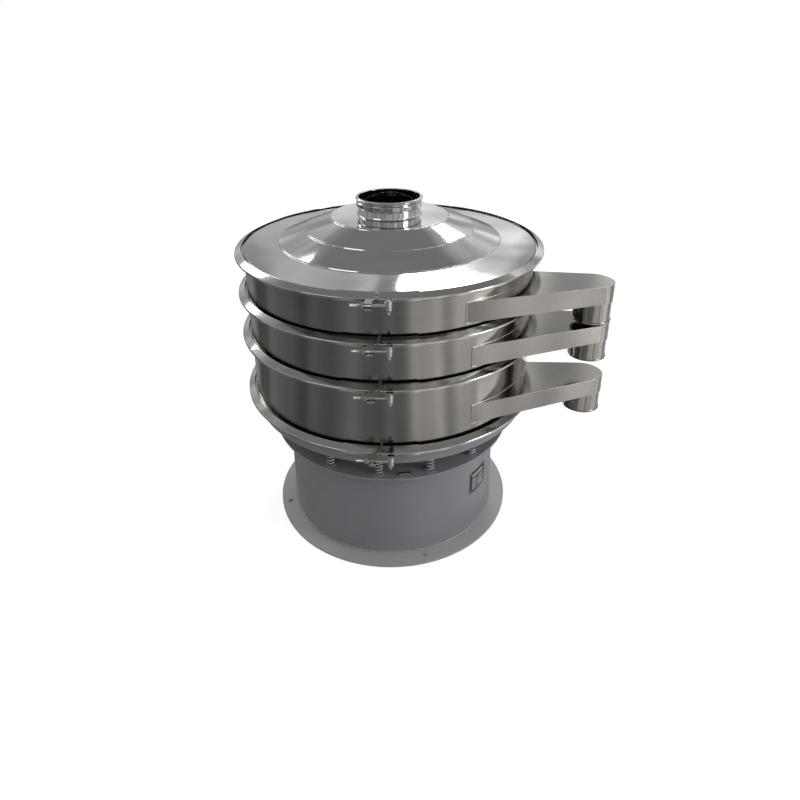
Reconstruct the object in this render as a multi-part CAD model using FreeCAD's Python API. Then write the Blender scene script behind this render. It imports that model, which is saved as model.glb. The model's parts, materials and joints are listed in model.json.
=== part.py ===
"""Three-deck rotary vibrating sieve, in millimetres.

The origin lies on the floor, on the machine's axis, at the centre of the foot bolt circle, and +Z is up.
A painted base carries a ring of coil springs. The springs carry the table with its vibrator motor, and three
drums with side spouts stand on the table, each held by a V-section clamp ring. A stepped lid with a feed
collar closes the top. Heights of what stands on the table are worked out upwards from the base.
"""
import FreeCAD
import Part
import math
import os

Vec = FreeCAD.Vector
UP = Vec(0, 0, 1)

# --- base ---
foot_r = 451.0
foot_t = 8.0
foot_bore_r = 372.0
foot_bolt_circle_r = 420.0
foot_hole_r = 9.0
foot_hole_count = 4
foot_hole_az = -75.0
barrel_r = 391.5
barrel_wall = 5.0
barrel_weld = 6.5
base_h = 370.0
spring_ring_r = 440.0
spring_ring_bore_r = 345.0
spring_ring_t = 8.0
hand_hole_w = 200.0
hand_hole_h = 130.0
hand_hole_corner = 32.0
hand_hole_z = 190.0
hand_hole_az = 90.0
stop_len = 42.0
stop_w = 12.0
stop_h = 8.0
stop_inset = 14.0
plate_w = 100.0
plate_h = 90.0
plate_t = 1.5
plate_az = -37.5
plate_z = 208.0
plate_corner = 4.0
rivet_r = 2.2
rivet_h = 1.6
rivet_inset = 6.0
gland_az = 122.0
gland_z = 75.0
gland_r = 13.0
gland_len = 34.0
gland_hex_af = 32.0
gland_bore_r = 6.0

# --- springs and their seats ---
spring_count = 15
spring_az = -96.5
spring_circle_r = 410.0
spring_len = 104.0
spring_mean_r = 13.0
spring_wire_r = 3.0
spring_wire_sides = 8
spring_pitch = 11.5
seat_r = 19.0
seat_t = 2.0
seat_stud_r = 9.0
seat_stud_h = 12.0

# --- table ---
drum_r = 500.0
sheet_t = 2.0
flange_t = 3.0
joint_gap = 4.0
table_rim_h = 55.0
table_wall = 5.0
table_ring_t = 8.0
table_ring_bore_r = 372.0
table_drop = 46.0
table_plate_r = 205.0
table_plate_t = 12.0
table_plate_bore_r = 55.0
rib_count = 8
rib_t = 6.0
rib_az = 22.5

# --- motor under the table ---
motor_flange_r = 150.0
motor_flange_t = 16.0
motor_body_r = 98.0
motor_body_h = 214.0
motor_hub_r = 52.0
motor_hub_h = 20.0
motor_bore_r = 22.0
fin_count = 20
fin_h = 9.0
fin_t = 4.0
motor_bolt_count = 8
motor_bolt_circle_r = 128.0
motor_bolt_r = 6.0
motor_bolt_head_r = 10.5
motor_bolt_head_h = 7.5
box_w = 96.0
box_h = 84.0
box_d = 52.0
box_corner = 8.0
bearing_r = 40.0
bearing_h = 18.0
shaft_r = 17.5
shaft_above = 66.0
shaft_below = 62.0
running_fit = 0.05
weight_r = 95.0
weight_t = 30.0
weight_hub_r = 32.0
weight_gap = 12.0
weight_angle = 150.0
lower_weight_phase = 45.0

# --- drums and pan ---
bottom_pitch = 220.0
middle_pitch = 151.0
upper_pitch = 138.0
pan_edge_rise = 43.0
pan_crown = 34.0
pan_rim_h = 14.0

# --- spouts ---
duct_h = 67.0
duct_wall_len = 471.0
duct_wall_turn = 80.9
duct_taper = 22.0
duct_roof_drop = 15.0
duct_floor_drop = 8.0
duct_nose_r = 63.0
pipe_r = 60.0
pipe_drop = 130.0
pipe_lip = 3.0
pipe_lip_h = 5.0
bottom_duct_rise = pan_edge_rise
middle_duct_rise = 28.0
upper_duct_rise = 28.0
bottom_duct_az = -59.6
middle_duct_az = -60.4
upper_duct_az = -63.5

# --- screen decks ---
deck_ring_wall = 4.0
deck_ring_h = 38.0
deck_side_gap = 2.0
deck_shoulder = 14.0
mesh_t = 1.0
tray_t = 2.0
tray_hole_r = 14.0
tray_hole_rings = ((90.0, 8), (210.0, 16), (390.0, 28))
ball_r = 12.0
ball_rings = ((150.0, 6), (300.0, 12))

# --- clamp rings ---
clamp_az = -94.0
clamp_r = 530.0
clamp_lip_r = 509.0
clamp_half_h = 15.0
clamp_nose_half = 3.5
clamp_sheet = 2.5
clamp_clear = 0.3
clamp_gap_angle = 0.4
strap_angle = 13.0
strap_sheet = 2.5
strap_bevel = 7.0
bolt_line_r = 553.0
bolt_drop = 6.0
bolt_r = 5.0
bolt_len = 105.0
eye_r = 10.0
eye_h = 12.0
pin_r = 5.0
pin_at = 32.0
pin_below = 25.0
pin_head_r = 8.0
pin_head_h = 6.5
lug_t = 4.0
lug_gap = 0.2
saddle_face_at = 64.7
saddle_len = 22.0
saddle_arm = 6.0
saddle_reach = 12.0
saddle_slot_gap = 0.6
washer_at = 65.0
washer_r = 11.0
washer_t = 2.5
nut_af = 17.0
nut_h = 10.0

# --- lid and feed collar ---
lid_edge_r = 501.0
lid_edge_rise = 5.0
lid_sheet = 2.2
lid_step = 4.0
lid_step_run = 2.5
lid_ridges = ((383.0, 23.0), (294.0, 61.0), (204.5, 97.0))
collar_r = 107.0
collar_h = 60.0
collar_wall = 2.0
collar_seat_rise = 103.0
collar_foot = 6.0
collar_lip = 9.0
collar_lip_h = 7.0
collar_bead = 5.5
collar_bead_low = 28.0
collar_bead_high = 45.0

# --- worked out from the sizes above ---
barrel_in_r = barrel_r - barrel_wall
drum_in_r = drum_r - sheet_t
seat_top_z = base_h + seat_t
table_z = seat_top_z + spring_len + seat_t
joint_4_z = table_z + table_rim_h
joint_3_z = joint_4_z + bottom_pitch
joint_2_z = joint_3_z + middle_pitch
joint_1_z = joint_2_z + upper_pitch
joint_half = joint_gap / 2 + flange_t
clamp_slope = (clamp_half_h - clamp_nose_half) / (clamp_r - clamp_lip_r)
clamp_skew = math.hypot(1.0, clamp_slope)
clamp_inner_nose = clamp_nose_half - clamp_sheet * clamp_skew
flange_r = clamp_r - (joint_half + clamp_clear * clamp_skew - clamp_inner_nose) / clamp_slope
motor_plate_z = table_z + table_ring_t - table_drop - table_plate_t
motor_low_z = motor_plate_z - motor_flange_t - motor_body_h
shaft_low_z = motor_low_z - motor_hub_h - shaft_below
shaft_top_z = motor_plate_z + table_plate_t + shaft_above


def at(azimuth, radius=1.0, z=0.0):
    """Point at an azimuth in degrees, a radius and a height."""
    angle = math.radians(azimuth)
    return Vec(radius * math.cos(angle), radius * math.sin(angle), z)


def revolve(outline, start=0.0, sweep=360.0):
    """Solid of revolution about Z. Outline items are (radius, z), or ((radius, z), (radius, z)) for an
    arc through the first point to the second."""
    edges = []
    here = outline[0]
    for item in outline[1:] + outline[:1]:
        if isinstance(item[0], tuple):
            mid, end = item
            edges.append(Part.Arc(Vec(here[0], 0, here[1]), Vec(mid[0], 0, mid[1]), Vec(end[0], 0, end[1])).toShape())
            here = end
        else:
            edges.append(Part.makeLine(Vec(here[0], 0, here[1]), Vec(item[0], 0, item[1])))
            here = item
    face = Part.Face(Part.Wire(edges))
    solid = face.revolve(Vec(), UP, sweep)
    solid.rotate(Vec(), UP, start)
    return solid


def tube(radius, bore, low, high):
    """Plain ring about Z between two heights."""
    return revolve([(bore, low), (radius, low), (radius, high), (bore, high)])


def rod(radius, length, base, direction):
    """Cylinder from a base point along a direction."""
    return Part.makeCylinder(radius, length, base, direction)


def hexagon(across_flats, height, base, direction):
    """Hexagonal prism with lightly turned corners, from a base point along a direction."""
    corner_r = across_flats / math.sqrt(3)
    points = [at(60 * k, corner_r) for k in range(7)]
    prism = Part.Face(Part.makePolygon(points)).extrude(Vec(0, 0, height))
    turned = Part.makeCone(corner_r * 1.03, corner_r * 0.93, height, Vec(), UP)
    prism = prism.common(turned)
    prism.Placement = FreeCAD.Placement(base, FreeCAD.Rotation(UP, direction))
    return prism


def slab(radial, tangential, vertical):
    """Block in a closure's own axes: X outward, Y along increasing azimuth, Z up. Each item is (low, high)."""
    low = Vec(radial[0], tangential[0], vertical[0])
    sizes = [side[1] - side[0] for side in (radial, tangential, vertical)]
    return Part.makeBox(*sizes, low)


def turned(shape, azimuth, z=0.0):
    """Copy of a shape turned about Z by an azimuth and lifted."""
    copy = shape.copy()
    copy.rotate(Vec(), UP, azimuth)
    copy.translate(Vec(0, 0, z))
    return copy


def round_array(shape, count, start):
    """Evenly spaced copies about Z, as a list."""
    return [turned(shape, start + k * 360.0 / count) for k in range(count)]


def fuse_all(first, others):
    """One solid from a body and what is welded to it."""
    return first.multiFuse(list(others)).removeSplitter()


# --- base ---

def foot_flange():
    """Flat ring on the floor with the foundation bolt holes."""
    ring = tube(foot_r, foot_bore_r, 0, foot_t)
    hole = rod(foot_hole_r, 3 * foot_t, Vec(foot_bolt_circle_r, 0, -foot_t), UP)
    return ring.cut(Part.makeCompound(round_array(hole, foot_hole_count, foot_hole_az)))


def rounded_window(width, height, corner, depth_low, depth_high):
    """Rounded rectangular cutter through a wall that faces +X, centred on Z = 0."""
    box = slab((depth_low, depth_high), (-width / 2, width / 2), (-height / 2, height / 2))
    long_edges = [edge for edge in box.Edges if abs(edge.tangentAt(edge.FirstParameter).x) > 0.9]
    return box.makeFillet(corner, long_edges)


def base_barrel():
    """Rolled shell with its weld fillet, the rear hand hole and the gland's hole."""
    low = foot_t
    high = base_h - spring_ring_t
    shell = revolve([
        (barrel_in_r, low), (barrel_r + barrel_weld, low), (barrel_r, low + barrel_weld),
        (barrel_r, high), (barrel_in_r, high)])
    window = rounded_window(hand_hole_w, hand_hole_h, hand_hole_corner, barrel_in_r * 0.8, foot_r)
    shell = shell.cut(turned(window, hand_hole_az, hand_hole_z))
    return shell.cut(rod(gland_r, 4 * barrel_wall, at(gland_az, barrel_r - 2 * barrel_wall, gland_z), at(gland_az)))


def spring_ring():
    """Flat ring on top of the barrel that overhangs it."""
    return tube(spring_ring_r, spring_ring_bore_r, base_h - spring_ring_t, base_h)


def transit_stop():
    """Short flat bar on the ring, midway between two springs."""
    middle_az = spring_az + 180.0 / spring_count
    outer = spring_ring_r - stop_inset
    bar = slab((outer - stop_w, outer), (-stop_len / 2, stop_len / 2), (base_h, base_h + stop_h))
    return turned(bar, middle_az)


def curved_plate(width, height, corner, inner_r, thickness):
    """Thin plate rolled to a radius, facing +X, centred on Z = 0."""
    sheet = tube(inner_r + thickness, inner_r, -height, height)
    return sheet.common(rounded_window(width, height, corner, inner_r * 0.9, inner_r * 1.1))


def nameplate():
    """Bare rating plate on the barrel."""
    return turned(curved_plate(plate_w, plate_h, plate_corner, barrel_r, plate_t), plate_az, plate_z)


def nameplate_rivets():
    """Four dome rivets at the plate's corners."""
    solids = []
    face_r = barrel_r + plate_t
    sphere_r = (rivet_r ** 2 + rivet_h ** 2) / (2 * rivet_h)
    for side in (-1, 1):
        for level in (-1, 1):
            azimuth = plate_az + side * math.degrees((plate_w / 2 - rivet_inset) / face_r)
            height = plate_z + level * (plate_h / 2 - rivet_inset)
            dome = Part.makeSphere(sphere_r, at(azimuth, face_r + rivet_h - sphere_r, height))
            solids.append(dome.cut(tube(face_r, face_r / 2, 0, base_h)))
    return Part.makeCompound(solids)


def cable_gland():
    """Hexagon gland through the barrel wall, with its bore open."""
    outward = at(gland_az)
    seat = at(gland_az, barrel_r + 1.0, gland_z)
    body = rod(gland_r, gland_len, at(gland_az, barrel_in_r - gland_len / 3, gland_z), outward)
    body = body.fuse(hexagon(gland_hex_af, gland_len / 3, seat, outward))
    dome = rod(gland_r, gland_len / 2, seat, outward)
    body = fuse_all(body, [dome])
    return body.cut(rod(gland_bore_r, 4 * gland_len, seat - outward * 2 * gland_len, outward))


# --- springs ---

def springs():
    """Compression springs with ends ground flat on their seats. The wire's many-sided section has the area of
    the round one and keeps the faces few."""
    turns_h = spring_len + 2 * spring_wire_r
    helix = Part.makeHelix(spring_pitch, turns_h, spring_mean_r)
    step = 2 * math.pi / spring_wire_sides
    corner_r = spring_wire_r * math.sqrt(step / math.sin(step))
    corners = [Vec(spring_mean_r + corner_r * math.cos((k + 0.5) * step), 0,
                   corner_r * math.sin((k + 0.5) * step)) for k in range(spring_wire_sides + 1)]
    coil = Part.Wire(helix).makePipeShell([Part.makePolygon(corners)], True, True)
    coil.translate(Vec(0, 0, -spring_wire_r))
    coil = coil.common(tube(spring_mean_r + 2 * spring_wire_r, spring_mean_r / 4, 0, spring_len))
    coil.translate(Vec(spring_circle_r, 0, seat_top_z))
    return Part.makeCompound(round_array(coil, spring_count, spring_az))


def seat(z, outward):
    """Spring seat: a disc with a centring stud. Outward is +1 to point up and -1 to point down."""
    here = Vec(spring_circle_r, 0, z)
    disc = rod(seat_r, seat_t, here, UP * outward)
    stud = rod(seat_stud_r, seat_t + seat_stud_h, here, UP * outward)
    rim = [edge for edge in stud.Edges if abs(edge.BoundBox.ZMax - stud.BoundBox.ZMax) < 1e-6 or
           abs(edge.BoundBox.ZMin - stud.BoundBox.ZMin) < 1e-6]
    ends = [edge for edge in rim if abs(edge.CenterOfMass.z - z) > seat_stud_h and edge.Closed]
    return fuse_all(disc, [stud.makeChamfer(seat_t, ends)])


def lower_seats():
    """Seats on the base ring."""
    return Part.makeCompound(round_array(seat(base_h, 1), spring_count, spring_az))


def upper_seats():
    """Seats under the table ring."""
    return Part.makeCompound(round_array(seat(table_z, -1), spring_count, spring_az))


# --- table ---

def table_dish():
    """Rim, flat spring ring, dished cone and thick motor plate in one welded body."""
    rim_top = joint_4_z - joint_gap / 2
    ring_top = table_z + table_ring_t
    plate_top = motor_plate_z + table_plate_t
    dish = revolve([
        (drum_r, table_z), (drum_r, rim_top - flange_t), (flange_r, rim_top - flange_t), (flange_r, rim_top),
        (drum_r - table_wall, rim_top), (drum_r - table_wall, ring_top), (table_ring_bore_r, ring_top),
        (table_plate_r, plate_top), (table_plate_bore_r, plate_top), (table_plate_bore_r, motor_plate_z),
        (table_plate_r, motor_plate_z), (table_ring_bore_r, table_z)])
    hole = rod(motor_bolt_r, 3 * table_plate_t, Vec(motor_bolt_circle_r, 0, motor_plate_z - table_plate_t), UP)
    return dish.cut(Part.makeCompound(round_array(hole, motor_bolt_count, 0)))


def table_ribs():
    """Triangular gussets between the motor plate, the cone and the spring ring, on the upper side."""
    ring_top = table_z + table_ring_t
    plate_top = motor_plate_z + table_plate_t
    inner_r = motor_bolt_circle_r + 2 * motor_bolt_head_r
    outline = [Vec(inner_r, 0, plate_top), Vec(table_plate_r, 0, plate_top),
               Vec(table_ring_bore_r, 0, ring_top), Vec(inner_r, 0, plate_top)]
    web = Part.Face(Part.makePolygon(outline)).extrude(Vec(0, rib_t, 0))
    web.translate(Vec(0, -rib_t / 2, 0))
    return Part.makeCompound(round_array(web, rib_count, rib_az))


def motor_housing():
    """Vertical foot-flange motor: flange, finned body and lower bearing hub, bored for the shaft."""
    top = motor_plate_z
    body_top = top - motor_flange_t
    hub_z = motor_low_z - motor_hub_h
    body = revolve([
        (motor_bore_r, hub_z), (motor_hub_r, hub_z), (motor_hub_r, motor_low_z),
        (motor_body_r - fin_h, motor_low_z), (motor_body_r, motor_low_z + fin_h),
        (motor_body_r, body_top), (motor_flange_r, body_top), (motor_flange_r, top), (bearing_r, top),
        (bearing_r, top - bearing_h), (motor_bore_r, top - bearing_h)])
    pocket = tube(bearing_r, motor_bore_r / 2, hub_z, hub_z + bearing_h)
    fin = slab((motor_body_r - fin_t, motor_body_r + fin_h), (-fin_t / 2, fin_t / 2),
               (motor_low_z + 2 * fin_h, body_top))
    body = fuse_all(body, round_array(fin, fin_count, 360.0 / fin_count / 2))
    hole = rod(motor_bolt_r, 3 * motor_flange_t, Vec(motor_bolt_circle_r, 0, body_top - motor_flange_t), UP)
    box_seat = slab((motor_body_r * 0.6, motor_body_r + 2 * fin_h), (-box_w / 2, box_w / 2), box_levels())
    box_seat = box_seat.cut(Part.makeCylinder(motor_body_r, shaft_top_z))
    body = body.cut(Part.makeCompound(round_array(hole, motor_bolt_count, 0)))
    return body.cut(pocket).cut(turned(box_seat, hand_hole_az))


def box_levels():
    """Lowest and highest level of the terminal box."""
    middle = motor_low_z + motor_body_h / 2
    return (middle - box_h / 2, middle + box_h / 2)


def terminal_box():
    """Cast box with rounded edges on the motor's flank, facing the hand hole."""
    box = slab((motor_body_r * 0.6, motor_body_r + box_d), (-box_w / 2, box_w / 2), box_levels())
    soft = [edge for edge in box.Edges if edge.CenterOfMass.x > motor_body_r * 0.7]
    box = box.makeFillet(box_corner, soft)
    return turned(box.cut(Part.makeCylinder(motor_body_r, shaft_top_z)), hand_hole_az)


def motor_bolts():
    """Hexagon bolts through the plate and the motor flange, head above and nut below."""
    low = motor_plate_z - motor_flange_t
    high = motor_plate_z + table_plate_t
    across = motor_bolt_head_r * math.sqrt(3)
    solids = []
    shank = rod(motor_bolt_r, high - low + 2 * motor_bolt_head_h, Vec(0, 0, low - 1.5 * motor_bolt_head_h), UP)
    head = hexagon(across, motor_bolt_head_h, Vec(0, 0, high), UP)
    nut = hexagon(across, motor_bolt_head_h, Vec(0, 0, low), UP * -1)
    bolt = fuse_all(shank, [head, nut])
    bolt.translate(Vec(motor_bolt_circle_r, 0, 0))
    solids += round_array(bolt, motor_bolt_count, 0)
    return Part.makeCompound(solids)


def motor_bearings():
    """Bearing rings in the two ends of the housing, running on the shaft."""
    bore = shaft_r + running_fit
    hub_z = motor_low_z - motor_hub_h
    upper = tube(bearing_r, bore, motor_plate_z - bearing_h, motor_plate_z)
    lower = tube(bearing_r, bore, hub_z, hub_z + bearing_h)
    return Part.makeCompound([upper, lower])


def motor_shaft():
    """Shaft through the motor with chamfered ends."""
    shaft = rod(shaft_r, shaft_top_z - shaft_low_z, Vec(0, 0, shaft_low_z), UP)
    return shaft.makeChamfer(2.0, [edge for edge in shaft.Edges if edge.Closed and len(edge.Vertexes) == 1])


def eccentric_weight(low, bore, middle_az):
    """Sector weight with a clamping hub and a slit, heavy side at an azimuth."""
    sector = revolve([(bore, low), (weight_r, low), (weight_r, low + weight_t), (bore, low + weight_t)],
                     -weight_angle / 2, weight_angle)
    hub = tube(weight_hub_r, bore, low, low + weight_t)
    slit = slab((-weight_hub_r * 1.2, -bore / 2), (-1.5, 1.5), (low - 1, low + weight_t + 1))
    return turned(fuse_all(sector, [hub]).cut(slit), middle_az)


def upper_weight():
    """Weight fixed on the shaft above the motor plate."""
    return eccentric_weight(motor_plate_z + table_plate_t + weight_gap, shaft_r, 0)


def lower_weight():
    """Weight under the motor that is set at a phase angle to the upper one."""
    low = motor_low_z - motor_hub_h - weight_gap - weight_t
    return eccentric_weight(low, shaft_r + running_fit, lower_weight_phase)


# --- spouts ---

def duct_frame(root_az):
    """Root point, near wall direction, far wall direction and pipe centre of a duct, seen from above."""
    root = at(root_az, drum_r)
    near = at(root_az + duct_wall_turn)
    far = at(root_az + duct_wall_turn - duct_taper)
    centre = root + near * duct_wall_len + UP.cross(near) * duct_nose_r
    return root, near, far, centre


def duct_core(root_az, floor_z, inset):
    """Tapering duct with a round end and sloping roof and floor, shrunk by an inset on every side."""
    root, near, far, centre = duct_frame(root_az)
    end_r = duct_nose_r - inset
    reach = drum_r * 0.12
    near_end = centre - UP.cross(near) * end_r
    far_end = centre + UP.cross(far) * end_r
    near_start = near_end - near * (duct_wall_len + reach)
    far_start = far_end - far * (duct_wall_len - reach)
    nose = centre + (near + far).normalize() * end_r
    edges = [
        Part.makeLine(near_start, near_end),
        Part.Arc(near_end, nose, far_end).toShape(),
        Part.makeLine(far_end, far_start),
        Part.makeLine(far_start, near_start)]
    prism = Part.Face(Part.Wire(edges)).extrude(Vec(0, 0, 2 * duct_h))
    prism.translate(Vec(0, 0, floor_z - duct_h / 2))
    roof_z = floor_z + duct_h
    far_s = duct_wall_len + 2 * duct_nose_r

    def edge_point(along, height):
        return root + near * along + UP * height
    roof_slope = duct_roof_drop / duct_wall_len
    floor_slope = duct_floor_drop / duct_wall_len
    low_s = -drum_r
    outline = [
        edge_point(low_s, floor_z + inset), edge_point(0, floor_z + inset),
        edge_point(far_s, floor_z + inset - floor_slope * far_s),
        edge_point(far_s, roof_z - inset - roof_slope * far_s),
        edge_point(0, roof_z - inset), edge_point(low_s, roof_z - inset), edge_point(low_s, floor_z + inset)]
    side = Part.Face(Part.makePolygon(outline)).extrude(UP.cross(near) * 2 * drum_r)
    side.translate(UP.cross(near) * -drum_r / 2)
    return prism.common(side)


def pipe_mouth_z(floor_z):
    """Level of the down-pipe's mouth."""
    return floor_z + duct_h - duct_roof_drop - pipe_drop


def spout(root_az, floor_z):
    """Sheet duct and down-pipe with a rolled lip, open into the drum and at the mouth."""
    centre = duct_frame(root_az)[3]
    mouth = pipe_mouth_z(floor_z)
    foot = Vec(centre.x, centre.y, mouth)
    outer = duct_core(root_az, floor_z, 0).fuse(rod(pipe_r, pipe_drop - duct_h / 2, foot, UP))
    lip = rod(pipe_r + pipe_lip, pipe_lip_h, foot, UP)
    lip = lip.makeFillet(pipe_lip * 0.8, [edge for edge in lip.Edges if len(edge.Vertexes) == 1])
    inner = duct_core(root_az, floor_z, sheet_t)
    bore = rod(pipe_r - sheet_t, pipe_drop - duct_h / 2, foot - UP * sheet_t, UP)
    body = outer.fuse(lip).cut(inner).cut(bore)
    body = body.cut(Part.makeCylinder(drum_r, joint_1_z))
    return max(body.Solids, key=lambda solid: solid.Volume)


# --- drums ---

def drum(low_joint, pitch, duct_az, duct_rise):
    """Rolled drum with a clamp flange at each end and the opening into its spout."""
    low = low_joint + joint_gap / 2
    high = low_joint + pitch - joint_gap / 2
    shell = revolve([
        (drum_in_r, low), (flange_r, low), (flange_r, low + flange_t), (drum_r, low + flange_t),
        (drum_r, high - flange_t), (flange_r, high - flange_t), (flange_r, high), (drum_in_r, high)])
    return shell.cut(duct_core(duct_az, low_joint + duct_rise, sheet_t))


def bottom_pan():
    """Sheet floor with a raised centre and a turned-down rim welded inside the drum."""
    edge_z = joint_4_z + pan_edge_rise + sheet_t
    crown_z = edge_z + pan_crown
    bend = 2 * sheet_t
    return revolve([
        (0, crown_z), (0, crown_z - sheet_t), (drum_in_r - bend, edge_z - sheet_t),
        (drum_in_r - sheet_t, edge_z - bend), (drum_in_r - sheet_t, edge_z - pan_rim_h),
        (drum_in_r, edge_z - pan_rim_h), (drum_in_r, edge_z - sheet_t), (drum_in_r - sheet_t, edge_z)])


def gasket(joint_z, low):
    """Flat rubber ring between two flanges, from a level up to the joint's top face."""
    return tube(flange_r, drum_in_r - 2 * deck_side_gap, low, joint_z + joint_gap / 2)


# --- screen decks ---

def deck_wall_r():
    """Outer radius of the screen ring's wall inside the drum."""
    return drum_in_r - deck_side_gap


def screen_ring(joint_z):
    """Rolled channel ring that hangs by its lip between two drum flanges."""
    lip_low = joint_z - joint_gap / 2
    wall = deck_wall_r()
    inner = wall - deck_ring_wall
    shoulder = wall - deck_ring_wall - deck_shoulder
    low = joint_z - deck_ring_h
    return revolve([
        (flange_r, joint_z), (shoulder, joint_z), (shoulder, joint_z - deck_ring_wall),
        (inner, joint_z - deck_ring_wall), (inner, low + deck_ring_wall), (shoulder, low + deck_ring_wall),
        (shoulder, low), (wall, low), (wall, lip_low), (flange_r, lip_low)])


def mesh(joint_z):
    """Tensioned sieve mesh, bonded on the ring's upper shoulder."""
    disc_r = deck_wall_r() - deck_ring_wall
    return Part.makeCylinder(disc_r, mesh_t, Vec(0, 0, joint_z))


def ball_tray(joint_z):
    """Perforated plate on the ring's lower shoulder that holds the balls under the mesh."""
    low = joint_z - deck_ring_h + deck_ring_wall
    plate = Part.makeCylinder(deck_wall_r() - deck_ring_wall - deck_side_gap, tray_t, Vec(0, 0, low))
    holes = []
    for ring_r, count in tray_hole_rings:
        holes += round_array(rod(tray_hole_r, 3 * tray_t, Vec(ring_r, 0, low - tray_t), UP), count, 0)
    return plate.cut(Part.makeCompound(holes))


def balls(joint_z):
    """Loose rubber balls that lie on the tray and knock the mesh clean."""
    centre_z = joint_z - deck_ring_h + deck_ring_wall + tray_t + ball_r + clamp_clear
    solids = []
    for ring_r, count in ball_rings:
        solids += round_array(Part.makeSphere(ball_r, Vec(ring_r, 0, centre_z)), count, 180.0 / count)
    return Part.makeCompound(solids)


# --- clamp rings ---

def v_profile(grow, sheet):
    """Outline of the V channel, grown outward by an amount, as (radius, height) about the joint plane."""
    skew = grow * clamp_skew
    nose_half = clamp_nose_half + skew - clamp_slope * grow
    nose_r = clamp_r + grow
    lip_half = clamp_half_h + skew
    inner_nose_half = nose_half - sheet * clamp_skew + clamp_slope * sheet
    inner_r = nose_r - sheet
    drop = sheet * clamp_skew
    return [
        (clamp_lip_r, lip_half), (nose_r, nose_half), (nose_r, -nose_half), (clamp_lip_r, -lip_half),
        (clamp_lip_r, drop - lip_half), (inner_r, -inner_nose_half), (inner_r, inner_nose_half),
        (clamp_lip_r, lip_half - drop)]


def groove_core():
    """Everything inside the V channel, which the lugs must not reach into."""
    inner = v_profile(0, clamp_sheet)[4:]
    tall = 4 * clamp_half_h
    outline = [(clamp_lip_r / 2, -tall), (clamp_lip_r, -tall)] + inner + [(clamp_lip_r, tall), (clamp_lip_r / 2, tall)]
    return revolve(outline)


def strap(side):
    """Strap end over the ring on one side of the gap, with bevelled corners at its far end."""
    piece = revolve(v_profile(strap_sheet, strap_sheet), clamp_gap_angle, strap_angle - clamp_gap_angle)
    lip_half = clamp_half_h + strap_sheet * clamp_skew
    for level in (-1, 1):
        corner = at(strap_angle, clamp_lip_r, level * lip_half)
        cutter = Part.makeBox(4 * clamp_half_h, 2 * strap_bevel, 2 * strap_bevel)
        cutter.translate(Vec(-2 * strap_bevel, -strap_bevel, -strap_bevel))
        cutter.rotate(Vec(), Vec(1, 0, 0), 45)
        cutter.rotate(Vec(), UP, strap_angle)
        cutter.translate(corner)
        piece = piece.cut(cutter)
    if side < 0:
        piece = piece.mirror(Vec(), Vec(0, 1, 0))
    return piece


def hinge_lug():
    """Two ears that hold the hinge pin above and below the bolt's eye."""
    ears = []
    for level in (-1, 1):
        inner_z = -bolt_drop + level * (eye_h / 2 + lug_gap)
        low = min(inner_z, inner_z + level * lug_t)
        ear = slab((clamp_lip_r, bolt_line_r), (pin_at - eye_r, pin_at + eye_r), (low, low + lug_t))
        ear = ear.fuse(rod(eye_r, lug_t, Vec(bolt_line_r, pin_at, low), UP))
        ears.append(ear.cut(rod(pin_r, 3 * lug_t, Vec(bolt_line_r, pin_at, low - lug_t), UP)))
    back_r = bolt_line_r - eye_r - saddle_slot_gap
    web = slab((clamp_lip_r, back_r), (pin_at - eye_r, pin_at + eye_r),
               (-bolt_drop - eye_h / 2 - lug_gap - lug_t, -bolt_drop + eye_h / 2 + lug_gap + lug_t))
    return ears + [web]


def saddle():
    """Forked block whose rounded face takes the nut, open outward so that the bolt swings out."""
    slot_half = bolt_r + saddle_slot_gap
    high = slot_half + saddle_arm - bolt_drop
    low = -slot_half - saddle_arm - bolt_drop
    face_t = pin_at - saddle_face_at
    block = slab((clamp_lip_r, bolt_line_r + saddle_reach), (face_t - 1, face_t + saddle_len), (low, high))
    slot = slab((bolt_line_r - slot_half, bolt_line_r + 2 * saddle_reach), (face_t - 2, face_t + 2 * saddle_len),
                (-bolt_drop - slot_half, -bolt_drop + slot_half))
    face = rod(saddle_face_at, 4 * clamp_half_h, Vec(bolt_line_r, pin_at, -2 * clamp_half_h), UP)
    return block.cut(slot).common(face)


def clamp_band():
    """Split V ring with its strap ends, hinge lug and saddle, about the joint plane and facing +X."""
    ring = revolve(v_profile(0, clamp_sheet), clamp_gap_angle, 360 - 2 * clamp_gap_angle)
    lugs = Part.makeCompound(hinge_lug() + [saddle()]).cut(groove_core())
    return fuse_all(ring, [strap(-1), strap(1)] + lugs.Solids)


def clamp_pin():
    """Hinge pin with a head above and a nut below the lug."""
    top = -bolt_drop + eye_h / 2 + lug_gap + lug_t
    low = -bolt_drop - eye_h / 2 - lug_gap - lug_t
    line = Vec(bolt_line_r, pin_at, 0)
    pin = rod(pin_r, top + bolt_drop + pin_below, line - UP * (bolt_drop + pin_below), UP)
    head = rod(pin_head_r, pin_head_h, line + UP * top, UP)
    head = head.makeFillet(2.0, [edge for edge in head.Edges if edge.BoundBox.ZMin > top + 1])
    nut = hexagon(2 * pin_head_r, pin_head_h, line + UP * low, UP * -1)
    return fuse_all(pin, [head, nut])


def clamp_bolt():
    """Eye bolt: an eye on the pin and a shank along the closure."""
    line = Vec(bolt_line_r, pin_at, -bolt_drop)
    eye = rod(eye_r, eye_h, line - UP * eye_h / 2, UP)
    shank = rod(bolt_r, bolt_len, line, Vec(0, -1, 0))
    tip = [edge for edge in shank.Edges if len(edge.Vertexes) == 1 and edge.CenterOfMass.y < pin_at - 1]
    body = fuse_all(eye, [shank.makeChamfer(bolt_r * 0.3, tip)])
    return body.cut(rod(pin_r + running_fit, 2 * eye_h, line - UP * eye_h, UP))


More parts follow.
